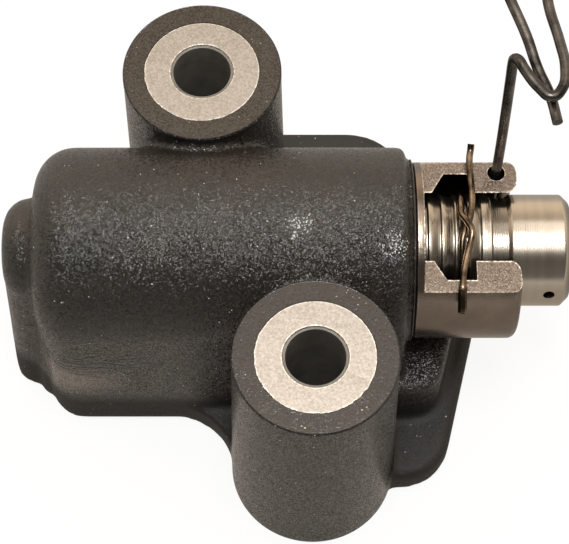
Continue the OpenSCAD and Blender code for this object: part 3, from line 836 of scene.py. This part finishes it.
# Wisps of flash where the rear boss meets the barrel, in mm
WISP_WIRE = 0.17
WISPS = (
    ((-1.76, 9.95, 30.6), (-1.72, 9.85, 29.8), (-1.5, 9.9, 28.9)),
    ((-1.3, 8.95, 29.75), (-1.45, 8.2, 30.45), (-1.75, 6.9, 31.65)),
    ((-0.75, 10.62, 27.9), (-0.45, 10.75, 28.25), (0.0, 11.25, 27.6), (0.35, 11.65, 26.6)),
    ((-0.6, 10.7, 27.2), (0.05, 11.2, 26.9), (0.6, 11.75, 26.1), (0.95, 12.2, 24.9)),
    ((0.1, 11.3, 26.4), (0.45, 11.6, 26.0), (0.8, 12.1, 25.2)),
)
# Crumbs on the front boss: [along, across, size], in mm, and their flattening and roughness
CRUMBS = (
    (5.22, -26.21, 0.10), (4.85, -26.0, 0.08), (11.24, -24.16, 0.09), (11.75, -23.85, 0.08),
)
CRUMB_SHAPE = (1.4, 1.0, 0.7)
CRUMB_ROUGH = 0.2

# Bushes: faces round a tube, and the width of the stepped ring round its hole
BUSH_STEPS = 128
HOLE_STEP = 0.34 * MM
# In widths of that ring: its insets as [across, down], its rounded rim, and where the darker steel
# that paints the shade inside the hole starts
HOLE_INSETS = ((0.35, 0.5), (0.65, 0.1))
HOLE_EDGE = 0.12
HOLE_SHADE = 0.7
# Ragged stretches of a bush's rim as [from, to, most], in degrees about the bolt axis and mm
BURRS = {
    "front_bolt_bush": ((150, 205, 0.10), (205, 246, 0.34), (246, 330, 0.12)),
    "rear_bolt_bush": ((165, 215, 0.16), (215, 300, 0.22)),
}
BURR_RISE = 0.03 * MM
BURR_SEED = 11


class TENSIONER_OT_housing(Operator):
    """Mould the housing: the frame's solid with a soft skin and filleted corners"""

    bl_idname = "tensioner.housing"
    bl_label = "Mould Housing"

    def execute(self, context):
        piece = cad_copy("housing", "housing_moulding")
        self.fill_root(piece)
        bpy.ops.object.modifier_add(type="REMESH")
        skin = piece.modifiers[-1]
        skin.mode = "VOXEL"
        skin.voxel_size = sizes().skin_voxel
        skin.use_smooth_shade = True
        apply_all(piece)
        self.soften(piece, "free_skin", self.free_skin, 4, True)
        self.soften(piece, "foot", self.foot, 12, False)
        bpy.ops.object.shade_smooth()
        finish_piece(piece, moulded_plastic(), "housing_body", "housing_plastic", "housing")
        return {"FINISHED"}

    def free_skin(self, place):
        """Share of smoothing at a place: the foot and the bosses' top edges stay crisp."""
        reach = min((place.xy - axis.xy).length for axis in (FRONT_AXIS, REAR_AXIS)) / MM
        above_foot = place.z / MM - KEPT_FOOT
        off_boss = max(reach - KEPT_ROUND, (BOSS_TOP - place.z) / MM - KEPT_BELOW)
        return max(0.08, min(above_foot, off_boss, 1)) if above_foot > 0 else 0

    def foot(self, place):
        """Share of level smoothing at a place: all of it at the mounting face."""
        return max(0, min(1, FOOT_HEIGHT - place.z / MM))

    def soften(self, piece, name, share, rounds, upright):
        """Smooths the skin by a share that changes over it."""
        group = piece.vertex_groups.new(name=name)
        for vertex in piece.data.vertices:
            group.add([vertex.index], share(vertex.co), "REPLACE")
        only(piece)
        bpy.ops.object.modifier_add(type="SMOOTH")
        soft = piece.modifiers[-1]
        soft.factor = 0.5
        soft.iterations = rounds
        soft.use_z = upright
        soft.vertex_group = name
        apply_all(piece)
        piece.vertex_groups.remove(piece.vertex_groups[name])

    def fill_root(self, piece):
        """Fills the sharp valley beside the end block with a tapered root."""
        foot_r, top_r = ROOT_R
        along, across = ROOT_PLACE
        bpy.ops.object.select_all(action="DESELECT")
        bpy.ops.mesh.primitive_cone_add(
            vertices=32, radius1=foot_r * MM, radius2=top_r * MM, depth=ROOT_HEIGHT * MM,
            location=(along * MM, across * MM, ROOT_HEIGHT / 2 * MM))
        joined(piece.name, [piece, named("end_root")])


class TENSIONER_OT_collar_beads(Operator):
    """Spin the moulded beads round the housing's mouth"""

    bl_idname = "tensioner.collar_beads"
    bl_label = "Spin Collar Beads"

    def execute(self, context):
        bpy.ops.object.select_all(action="DESELECT")
        beads = []
        for ahead, radius, half in BEADS:
            bpy.ops.mesh.primitive_circle_add(
                vertices=10, radius=half * MM, rotation=(math.radians(90), 0, 0),
                location=(ahead * MM, 0, AXIS_Z + radius * MM))
            beads.append(named("bead"))
        piece = joined("collar_beads", beads)
        bpy.ops.object.transform_apply(location=True, rotation=True, scale=True)
        edit(piece, "VERT")
        bpy.ops.mesh.select_all(action="SELECT")
        bpy.ops.mesh.spin(
            steps=120, angle=math.radians(360), center=(0, 0, AXIS_Z), axis=(1, 0, 0))
        bpy.ops.mesh.select_all(action="SELECT")
        bpy.ops.mesh.remove_doubles(threshold=1e-6)
        bpy.ops.mesh.normals_make_consistent(inside=False)
        done()
        bpy.ops.object.shade_smooth()
        finish_piece(piece, moulded_plastic(), "housing_body", "housing_plastic")
        return {"FINISHED"}


class TENSIONER_OT_boss_rings(Operator):
    """Draw out the crisp rings at the tops and feet of the two bolt bosses"""

    bl_idname = "tensioner.boss_rings"
    bl_label = "Draw Boss Rings"

    def execute(self, context):
        inner = BUSH_R / MM + CAP_GAP
        top = BOSS_TOP / MM + CAP_PROUD
        cap = ((inner, top - CAP_DEPTH), (inner, top), (CAP_R - CAP_EDGE, top),
               (CAP_R, top - CAP_EDGE), (CAP_R + CAP_DRAFT, top - CAP_DEPTH))
        for name, profile in (("boss_tops", cap), ("boss_feet", FOOT)):
            piece = joined(name, [self.ring(axis, profile) for axis in (FRONT_AXIS, REAR_AXIS)])
            even_shading(piece)
            finish_piece(piece, moulded_plastic(), "housing_body", "housing_plastic")
        return {"FINISHED"}

    def ring(self, axis, profile):
        """Ring about an upright axis, drawn out from a circle along a profile."""
        radius, height = profile[0]
        bpy.ops.object.select_all(action="DESELECT")
        bpy.ops.mesh.primitive_circle_add(
            vertices=RING_STEPS, radius=radius * MM, location=(axis.x, axis.y, height * MM))
        piece = named("boss_ring")
        bpy.ops.object.transform_apply(location=True, rotation=True, scale=True)
        edit(piece, "EDGE")
        bpy.ops.mesh.select_all(action="SELECT")
        for reach, level in profile[1:]:
            rise = (level - height) * MM
            share = reach / radius
            bpy.ops.mesh.extrude_region_move(TRANSFORM_OT_translate={"value": (0, 0, rise)})
            bpy.ops.transform.resize(value=(share, share, 1), center_override=(axis.x, axis.y, 0))
            radius, height = reach, level
        bpy.ops.mesh.select_all(action="SELECT")
        bpy.ops.mesh.normals_make_consistent(inside=False)
        done()
        return piece


class TENSIONER_OT_moulding_flash(Operator):
    """Lay the loose wisps of flash and the crumbs that the moulding left on the bosses"""

    bl_idname = "tensioner.moulding_flash"
    bl_label = "Lay Moulding Flash"

    def execute(self, context):
        wisps = [wire_piece("wisp", [tuple(Vector(point) * MM) for point in path], WISP_WIRE * MM)
                 for path in WISPS]
        piece = joined("flash_wisps", wisps)
        finish_piece(piece, moulded_plastic(), "housing_body", "housing_plastic")
        crumbs = []
        for along, across, size in CRUMBS:
            bpy.ops.object.select_all(action="DESELECT")
            bpy.ops.mesh.primitive_ico_sphere_add(
                subdivisions=2, radius=size * MM, location=(along * MM, across * MM, BOSS_TOP))
            crumb = named("crumb")
            edit(crumb, "VERT")
            bpy.ops.mesh.select_all(action="SELECT")
            bpy.ops.transform.resize(value=CRUMB_SHAPE, center_override=crumb.location)
            bpy.ops.transform.vertex_random(offset=CRUMB_ROUGH * size * MM, seed=len(crumbs))
            done()
            crumbs.append(crumb)
        piece = joined("boss_crumbs", crumbs)
        bpy.ops.object.transform_apply(location=True, rotation=True, scale=True)
        bpy.ops.object.shade_smooth_by_angle(angle=math.radians(40))
        finish_piece(piece, inner_finish("pale_dust", tuple(colours().dust), 0.8, 0.0),
                     "housing_body", "housing_plastic")
        return {"FINISHED"}


class TENSIONER_OT_bolt_bushes(Operator):
    """Turn the two bolt bushes: tubes with a rounded rim and a chamfered hole"""

    bl_idname = "tensioner.bolt_bushes"
    bl_label = "Turn Bolt Bushes"

    def execute(self, context):
        hole = sizes().bolt_hole_r
        for node, (low, high) in (("front_bolt_bush", FRONT_BUSH), ("rear_bolt_bush", REAR_BUSH)):
            centre = (low + high) / 2
            bpy.ops.object.select_all(action="DESELECT")
            bpy.ops.mesh.primitive_cylinder_add(
                vertices=BUSH_STEPS, radius=BUSH_R, depth=high.z - low.z, location=centre)
            piece = named(node + "_turned")
            bpy.ops.object.transform_apply(location=True, rotation=True, scale=True)
            edit(piece, "FACE")
            pick(piece, "faces", lambda face: abs(face.normal.z) > 0.9)
            bpy.ops.mesh.inset(thickness=BUSH_R - hole - HOLE_STEP, use_individual=True)
            for across, down in HOLE_INSETS:
                bpy.ops.mesh.inset(
                    thickness=HOLE_STEP * across, depth=-HOLE_STEP * down, use_individual=True)
            bpy.ops.mesh.bridge_edge_loops()
            bpy.ops.mesh.select_mode(type="EDGE")
            pick(piece, "edges", lambda edge: all(
                abs((v.co.xy - centre.xy).length - BUSH_R) < NEAR for v in edge.verts)
                and abs(edge.verts[0].co.z - edge.verts[1].co.z) < NEAR)
            bpy.ops.mesh.bevel(offset=sizes().bush_edge, segments=3)
            bpy.ops.mesh.select_mode(type="EDGE")
            pick(piece, "edges", lambda edge: all(
                abs((v.co.xy - centre.xy).length - hole - HOLE_STEP) < NEAR for v in edge.verts))
            bpy.ops.mesh.bevel(offset=HOLE_STEP * HOLE_EDGE, segments=2)
            self.raise_burrs(piece, centre, BURRS[node])
            bpy.ops.mesh.select_all(action="SELECT")
            bpy.ops.mesh.normals_make_consistent(inside=False)
            done()
            even_shading(piece)
            finish_piece(piece, plated_steel(), "housing_body", "bush_steel", node)
            # Faces inside the hole get darker, duller steel as painted shade
            piece.data.materials.append(inner_finish("bore_steel", tuple(colours().bore), 0.6, 0.3))
            for face in piece.data.polygons:
                inside = (face.center.xy - centre.xy).length < hole + HOLE_STEP * HOLE_SHADE
                face.material_index = 1 if inside else 0
        return {"FINISHED"}

    def raise_burrs(self, piece, centre, stretches):
        """Pulls the top rim outwards into a ragged burr along its rough stretches."""
        chance = random.Random(BURR_SEED)
        bpy.ops.mesh.select_mode(type="VERT")
        half_step = BUSH_R * math.radians(180 / BUSH_STEPS)
        for step in range(BUSH_STEPS):
            turn = math.radians(360 * step / BUSH_STEPS)
            way = Vector((math.cos(turn), math.sin(turn)))
            most = [size for start, end, size in stretches if start <= math.degrees(turn) < end]
            if not most:
                continue
            reach = most[0] * chance.random() ** 2 * MM
            top = BOSS_TOP - sizes().bush_edge * 1.05
            pick(piece, "verts", lambda v: v.co.z > top and (
                v.co.xy - centre.xy - way * BUSH_R).length < half_step)
            bpy.ops.transform.translate(value=(way.x * reach, way.y * reach, BURR_RISE))


class TENSIONER_OT_sleeve(Operator):
    """Break the edges of the sleeve and its window"""

    bl_idname = "tensioner.sleeve"
    bl_label = "Finish Sleeve"

    def execute(self, context):
        piece = bevelled_copy("sleeve", "sleeve_turned", sizes().steel_edge)
        finish_piece(piece, sleeve_steel(), "housing_body", "sleeve_steel", "sleeve")
        return {"FINISHED"}


# Length of the plunger's nose whose edges are rounded
NOSE_DEPTH = 1.1 * MM


class TENSIONER_OT_plunger(Operator):
    """Break the edges of the plunger and its ratchet grooves"""

    bl_idname = "tensioner.plunger"
    bl_label = "Finish Plunger"

    def execute(self, context):
        tip = PLUNGER[1].x

        def nose(edge):
            level = abs(edge.verts[0].co.x - edge.verts[1].co.x) < NEAR
            out = all((v.co.yz - Vector((0, AXIS_Z))).length > 0.8 * PLUNGER_R for v in edge.verts)
            return level and out and edge.verts[0].co.x > tip - NOSE_DEPTH

        piece = bevelled_copy("plunger", "plunger_ground", sizes().plunger_edge, nose,
                              sizes().nose_round)
        finish_piece(piece, ground_steel(), "plunger_body", "plunger_steel", "plunger")
        return {"FINISHED"}


# Ratchet ring's legs, as the frame's ring has them: [ahead, out along the leg, above the lands],
# in wire diameters, in the leg's reach and in wire diameters
REAR_LEG = (
    (1.28, 1, 0.68), (1.18, 0.93, 0.14), (1.03, 0.86, 0), (1.03, 0.56, 0), (1.13, 0.34, 0),
    (0.92, 0.15, 0), (0.46, 0, 0),
)
FRONT_LEG = (
    (-0.54, -0.09, 0.2), (0.06, 0.02, 1.02), (0.8, 0.15, 1.02), (0.58, 0.26, 0.6),
    (0.06, 0.41, 0.3), (-0.45, 0.58, 0.1), (-0.7, 0.73, 0), (-0.77, 0.81, -0.24),
    (-0.77, 0.87, -1), (-0.75, 1, -2.8),
)
# Flattened front end: where it starts along the leg, and how much wider it is
FLAT_START = 0.78
FLAT_WIDTH = 1.3
# Degrees between the points of the turn
TURN_STEP = 18


class TENSIONER_OT_ratchet_ring(Operator):
    """Bend the ratchet ring: one turn round the plunger with two crossing legs"""

    bl_idname = "tensioner.ratchet_ring"
    bl_label = "Bend Ratchet Ring"

    def execute(self, context):
        wire = sizes().ring_wire
        land_r = PLUNGER_R + wire / 2 + WIRE_GAP
        turn_r = AXIS_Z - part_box("ratchet_ring")[0].z - wire / 2
        groove_x = SLEEVE[1].x - sizes().ring_back

        def leg(rows, reach):
            return [(groove_x + ahead * wire, out * reach, AXIS_Z + land_r + above * wire)
                    for ahead, out, above in rows]

        points = leg(REAR_LEG, sizes().rear_leg)
        for angle in range(TURN_STEP, 360, TURN_STEP):
            turn = math.radians(angle)
            share = math.cos(turn / 2) ** 4
            radius = turn_r + share * (land_r - turn_r)
            points.append((groove_x - share * wire / 2, -radius * math.sin(turn),
                           AXIS_Z + radius * math.cos(turn)))
        points += leg(FRONT_LEG, -sizes().front_leg)
        piece = wire_piece("ratchet_ring_wire", points, wire)
        self.flatten_tip(piece, Vector(points[-2]), Vector(points[-1]))
        finish = drawn_wire("tempered_wire", tuple(colours().ring), 0.10, 0.28, 1.0)
        finish_piece(piece, finish, "housing_body", "ring_wire", "ratchet_ring")
        return {"FINISHED"}

    def flatten_tip(self, piece, before, tip):
        """Flattens the end of the front leg and rounds its rim."""
        wire = sizes().ring_wire
        way = (tip - before).normalized()
        edit(piece, "VERT")
        pick(piece, "verts", lambda v: v.co.y < -FLAT_START * sizes().front_leg)
        bpy.ops.transform.resize(value=(FLAT_WIDTH, 1, 1), center_override=(tip.x, 0, AXIS_Z))
        bpy.ops.mesh.select_mode(type="FACE")
        pick(piece, "faces", lambda face: face.normal.dot(way) > 0.9
             and (face.calc_center_median() - tip).length < wire)
        bpy.ops.mesh.region_to_loop()
        bpy.ops.mesh.bevel(offset=0.3 * wire, segments=3)
        done()


# Lock pin's loop as the frame's pin has it, in mm from its foot: [ahead, to the rear, above the
# loop's plane]
LOOP = (
    (-0.3, 0, -3.2), (-0.34, 0, -1.5), (-0.26, -0.1, -0.3), (0.1, -0.6, 0.24), (0.6, -1.6, 0.19),
    (2.1, -3.85, 0), (3.3, -4.85, 0), (4.4, -3.9, 0), (4.9, -1.4, 0), (4.5, 1.8, 0), (3.6, 6.4, 0),
    (3.5, 9.6, 0), (3.85, 12.2, 0), (4.15, 15, 0), (3.5, 17.8, 0), (1.3, 19.6, 0), (-1.2, 19, 0),
    (-2.5, 16.6, 0), (-2.35, 13.6, 0), (-0.45, 7.4, -0.1),
    (1.2, 2.9, -0.7), (2.2, -0.6, -1.3), (3.4, -3.9, -1.6), (3.95, -7, -1.6),
)


class TENSIONER_OT_lock_pin(Operator):
    """Bend the lock pin: a straight leg through the ear and a pull loop"""

    bl_idname = "tensioner.lock_pin"
    bl_label = "Bend Lock Pin"

    def execute(self, context):
        wire = sizes().pin_wire
        foot = Vector((SLEEVE[1].x - sizes().pin_back, PLUNGER_R + wire / 2 + WIRE_GAP,
                       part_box("lock_pin")[0].z))
        plane = Vector((foot.x, foot.y, AXIS_Z + sizes().pin_rise))
        points = [tuple(foot), (foot.x, foot.y, AXIS_Z), (foot.x, foot.y, SLEEVE[1].z)]
        points += [tuple(plane + Vector(point) * MM) for point in LOOP]
        piece = wire_piece("lock_pin_wire", points, wire)
        finish = drawn_wire("oiled_wire", tuple(colours().pin), 0.20, 0.38, 0.9)
        finish_piece(piece, finish, "lock_pin_body", "pin_wire", "lock_pin")
        return {"FINISHED"}


class TENSIONER_OT_inner_parts(Operator):
    """Finish the pieces inside the bore and under the mounting face"""

    bl_idname = "tensioner.inner_parts"
    bl_label = "Finish Inner Parts"

    def execute(self, context):
        tones = colours()
        spring = drawn_wire("bright_wire", tuple(tones.spring), 0.24, 0.38, 1.0)
        valve = inner_finish("lapped_steel", tuple(tones.spring), 0.3, 1.0)
        for node, finish in (
            ("plunger_spring", spring), ("valve_spring", spring),
            ("valve_seat", valve), ("valve_cage", valve), ("check_ball", valve),
            ("vent_plug", inner_finish("natural_plastic", tuple(tones.plug), 0.5, 0.0)),
            ("inlet_seal", inner_finish("soft_rubber", tuple(tones.rubber), 0.6, 0.0)),
        ):
            piece = frame["nodes"][node]
            piece.data.materials.clear()
            piece.data.materials.append(finish)
        return {"FINISHED"}


# Camera fitted to the bush rings and the plunger, in mm and degrees
CAMERA_PLACE = (3.065, -108.78, 231.95)
CAMERA_TILT = 26.782
CAMERA_LENS = 129.96
CAMERA_SENSOR = 36
# Lamps: [name, place, width, depth, power, tint], in metres and watts
LAMPS = (
    ("overhead_panel", (0, 0.035, 0.5), 0.7, 0.58, 2.0, (1.0, 0.96, 0.90)),
    ("key_lamp", (0.01, -0.06, 0.48), 0.1, 0.16, 1.3, (0.97, 0.99, 1.0)),
)
# Room in front of the object and behind it, and the glowing floor that metal mirrors, far and near;
# the near tone is darker as a painted shadow of the object
ROOM_FRONT = (0.205, 0.195, 0.18, 1)
ROOM_REAR = (1.35, 1.13, 0.90, 1)
FLOOR_FAR = (0.86, 0.81, 0.73, 1)
FLOOR_NEAR_SHADOW = (0.52, 0.465, 0.405, 1)
FLOOR_MATT = (0.9, 0.87, 0.82, 1)
# Share of the floor's plain white that the camera sees; the rest keeps the shadow
FLOOR_WHITE = 0.9
FLOOR_DROP = 0.15 * MM


class TENSIONER_OT_stage(Operator):
    """Set the pale floor, the soft light overhead and the camera"""

    bl_idname = "tensioner.stage"
    bl_label = "Set Stage"

    def execute(self, context):
        scene = context.scene
        bpy.ops.object.select_all(action="DESELECT")
        bpy.ops.mesh.primitive_plane_add(size=4, location=(0, 0, -FLOOR_DROP))
        floor = named("floor")
        bpy.ops.object.transform_apply(location=True, rotation=True, scale=True)
        floor.data.materials.append(self.floor_finish())
        scene.world = self.sky()
        for lamp in LAMPS:
            self.hang(*lamp)
        bpy.ops.object.camera_add(
            location=Vector(CAMERA_PLACE) * MM, rotation=(math.radians(CAMERA_TILT), 0, 0))
        camera = named("photo_camera")
        camera.data.sensor_width = CAMERA_SENSOR
        camera.data.lens = CAMERA_LENS
        camera.data.clip_start = 0.01
        camera.data.clip_end = 20
        scene.camera = camera
        scene.view_settings.view_transform = "Standard"
        return {"FINISHED"}

    def hang(self, name, place, width, depth, power, tint):
        """Hangs a lamp that shines straight down."""
        bpy.ops.object.light_add(type="AREA", location=place)
        lamp = named(name)
        lamp.data.shape = "RECTANGLE"
        lamp.data.size = width
        lamp.data.size_y = depth
        lamp.data.energy = power
        lamp.data.color = tint

    def floor_finish(self):
        """White floor that keeps the shadow, and that metal mirrors as a glowing warm grey, darker
        near the object as a painted shadow.
        """
        material = bpy.data.materials.new("pale_floor")
        material.use_nodes = True
        tree = material.node_tree
        tree.nodes.clear()
        out = tree.nodes.new("ShaderNodeOutputMaterial")
        seen = put(tree, "ShaderNodeLightPath")
        matt = put(tree, "ShaderNodeBsdfDiffuse", Color=FLOOR_MATT)
        white = put(tree, "ShaderNodeEmission", Color=(1, 1, 1, 1), Strength=1.0)
        mirrored = put(tree, "ShaderNodeEmission", Strength=1.0)
        place = put(tree, "ShaderNodeTexCoord").outputs["Object"]
        tint = put(tree, "ShaderNodeMix", data_type="RGBA")
        tint.inputs["A"].default_value = FLOOR_FAR
        tint.inputs["B"].default_value = FLOOR_NEAR_SHADOW
        # Painted shadow: the floor seen in reflections darkens towards the object
        tie(tree, zone(tree, place, (0, 0, 0), 30, 190), tint.inputs["Factor"])
        tie(tree, tint.outputs["Result"], mirrored.inputs["Color"])
        in_gloss = join(tree, "MAXIMUM", seen.outputs["Is Glossy Ray"],
                        seen.outputs["Is Transmission Ray"])
        direct = tree.nodes.new("ShaderNodeMixShader")
        mix = tree.nodes.new("ShaderNodeMixShader")
        tie(tree, times(tree, seen.outputs["Is Camera Ray"], FLOOR_WHITE), direct.inputs[0])
        tie(tree, matt.outputs[0], direct.inputs[1])
        tie(tree, white.outputs[0], direct.inputs[2])
        tie(tree, in_gloss, mix.inputs[0])
        tie(tree, direct.outputs[0], mix.inputs[1])
        tie(tree, mirrored.outputs[0], mix.inputs[2])
        tie(tree, mix.outputs[0], out.inputs["Surface"])
        return material

    def sky(self):
        """Soft room: dim in front, bright behind, darker overhead."""
        world = bpy.data.worlds.new("soft_room")
        world.use_nodes = True
        tree = world.node_tree
        tree.nodes.clear()
        out = tree.nodes.new("ShaderNodeOutputWorld")
        way = put(tree, "ShaderNodeTexCoord")
        parts = put(tree, "ShaderNodeSeparateXYZ")
        rear = put(tree, "ShaderNodeMapRange", interpolation_type="SMOOTHSTEP")
        rear.inputs["From Min"].default_value = -0.45
        rear.inputs["From Max"].default_value = 0.45
        tone = put(tree, "ShaderNodeMix", data_type="RGBA")
        tone.inputs["A"].default_value = ROOM_FRONT
        tone.inputs["B"].default_value = ROOM_REAR
        fall = put(tree, "ShaderNodeMapRange", interpolation_type="SMOOTHSTEP")
        fall.inputs["From Min"].default_value = 0.3
        fall.inputs["From Max"].default_value = 0.8
        fall.inputs["To Min"].default_value = 1.0
        fall.inputs["To Max"].default_value = 0.5
        shine = put(tree, "ShaderNodeBackground", Strength=1.0)
        tie(tree, way.outputs["Generated"], parts.inputs[0])
        tie(tree, parts.outputs["Y"], rear.inputs["Value"])
        tie(tree, rear.outputs[0], tone.inputs["Factor"])
        tie(tree, parts.outputs["Z"], fall.inputs["Value"])
        tie(tree, tone.outputs["Result"], shine.inputs["Color"])
        tie(tree, fall.outputs[0], shine.inputs["Strength"])
        tie(tree, shine.outputs[0], out.inputs["Surface"])
        return world


class TENSIONER_PT_sidebar(Panel):
    """Lists the steps that dress the tensioner"""

    bl_idname = "TENSIONER_PT_sidebar"
    bl_label = "Chain Tensioner"
    bl_space_type = "VIEW_3D"
    bl_region_type = "UI"
    bl_category = "Tensioner"

    def draw(self, context):
        layout = self.layout
        for step in STEPS:
            layout.operator(step.bl_idname)
        for group in (context.scene.tensioner_sizes, context.scene.tensioner_colours):
            box = layout.box()
            for key in group.__annotations__:
                box.prop(group, key)


STEPS = (
    TENSIONER_OT_housing,
    TENSIONER_OT_collar_beads,
    TENSIONER_OT_boss_rings,
    TENSIONER_OT_moulding_flash,
    TENSIONER_OT_bolt_bushes,
    TENSIONER_OT_sleeve,
    TENSIONER_OT_plunger,
    TENSIONER_OT_ratchet_ring,
    TENSIONER_OT_lock_pin,
    TENSIONER_OT_inner_parts,
    TENSIONER_OT_stage,
)
CLASSES = (TensionerSizes, TensionerColours, *STEPS, TENSIONER_PT_sidebar)


def register():
    for item in CLASSES:
        bpy.utils.register_class(item)
    bpy.types.Scene.tensioner_sizes = PointerProperty(type=TensionerSizes)
    bpy.types.Scene.tensioner_colours = PointerProperty(type=TensionerColours)


def unregister():
    del bpy.types.Scene.tensioner_colours
    del bpy.types.Scene.tensioner_sizes
    for item in reversed(CLASSES):
        bpy.utils.unregister_class(item)


def main():
    register()
    bpy.ops.tensioner.housing()
    bpy.ops.tensioner.collar_beads()
    bpy.ops.tensioner.boss_rings()
    bpy.ops.tensioner.moulding_flash()
    bpy.ops.tensioner.bolt_bushes()
    bpy.ops.tensioner.sleeve()
    bpy.ops.tensioner.plunger()
    bpy.ops.tensioner.ratchet_ring()
    bpy.ops.tensioner.lock_pin()
    bpy.ops.tensioner.inner_parts()
    bpy.ops.tensioner.stage()


if __name__ == "__main__":
    main()
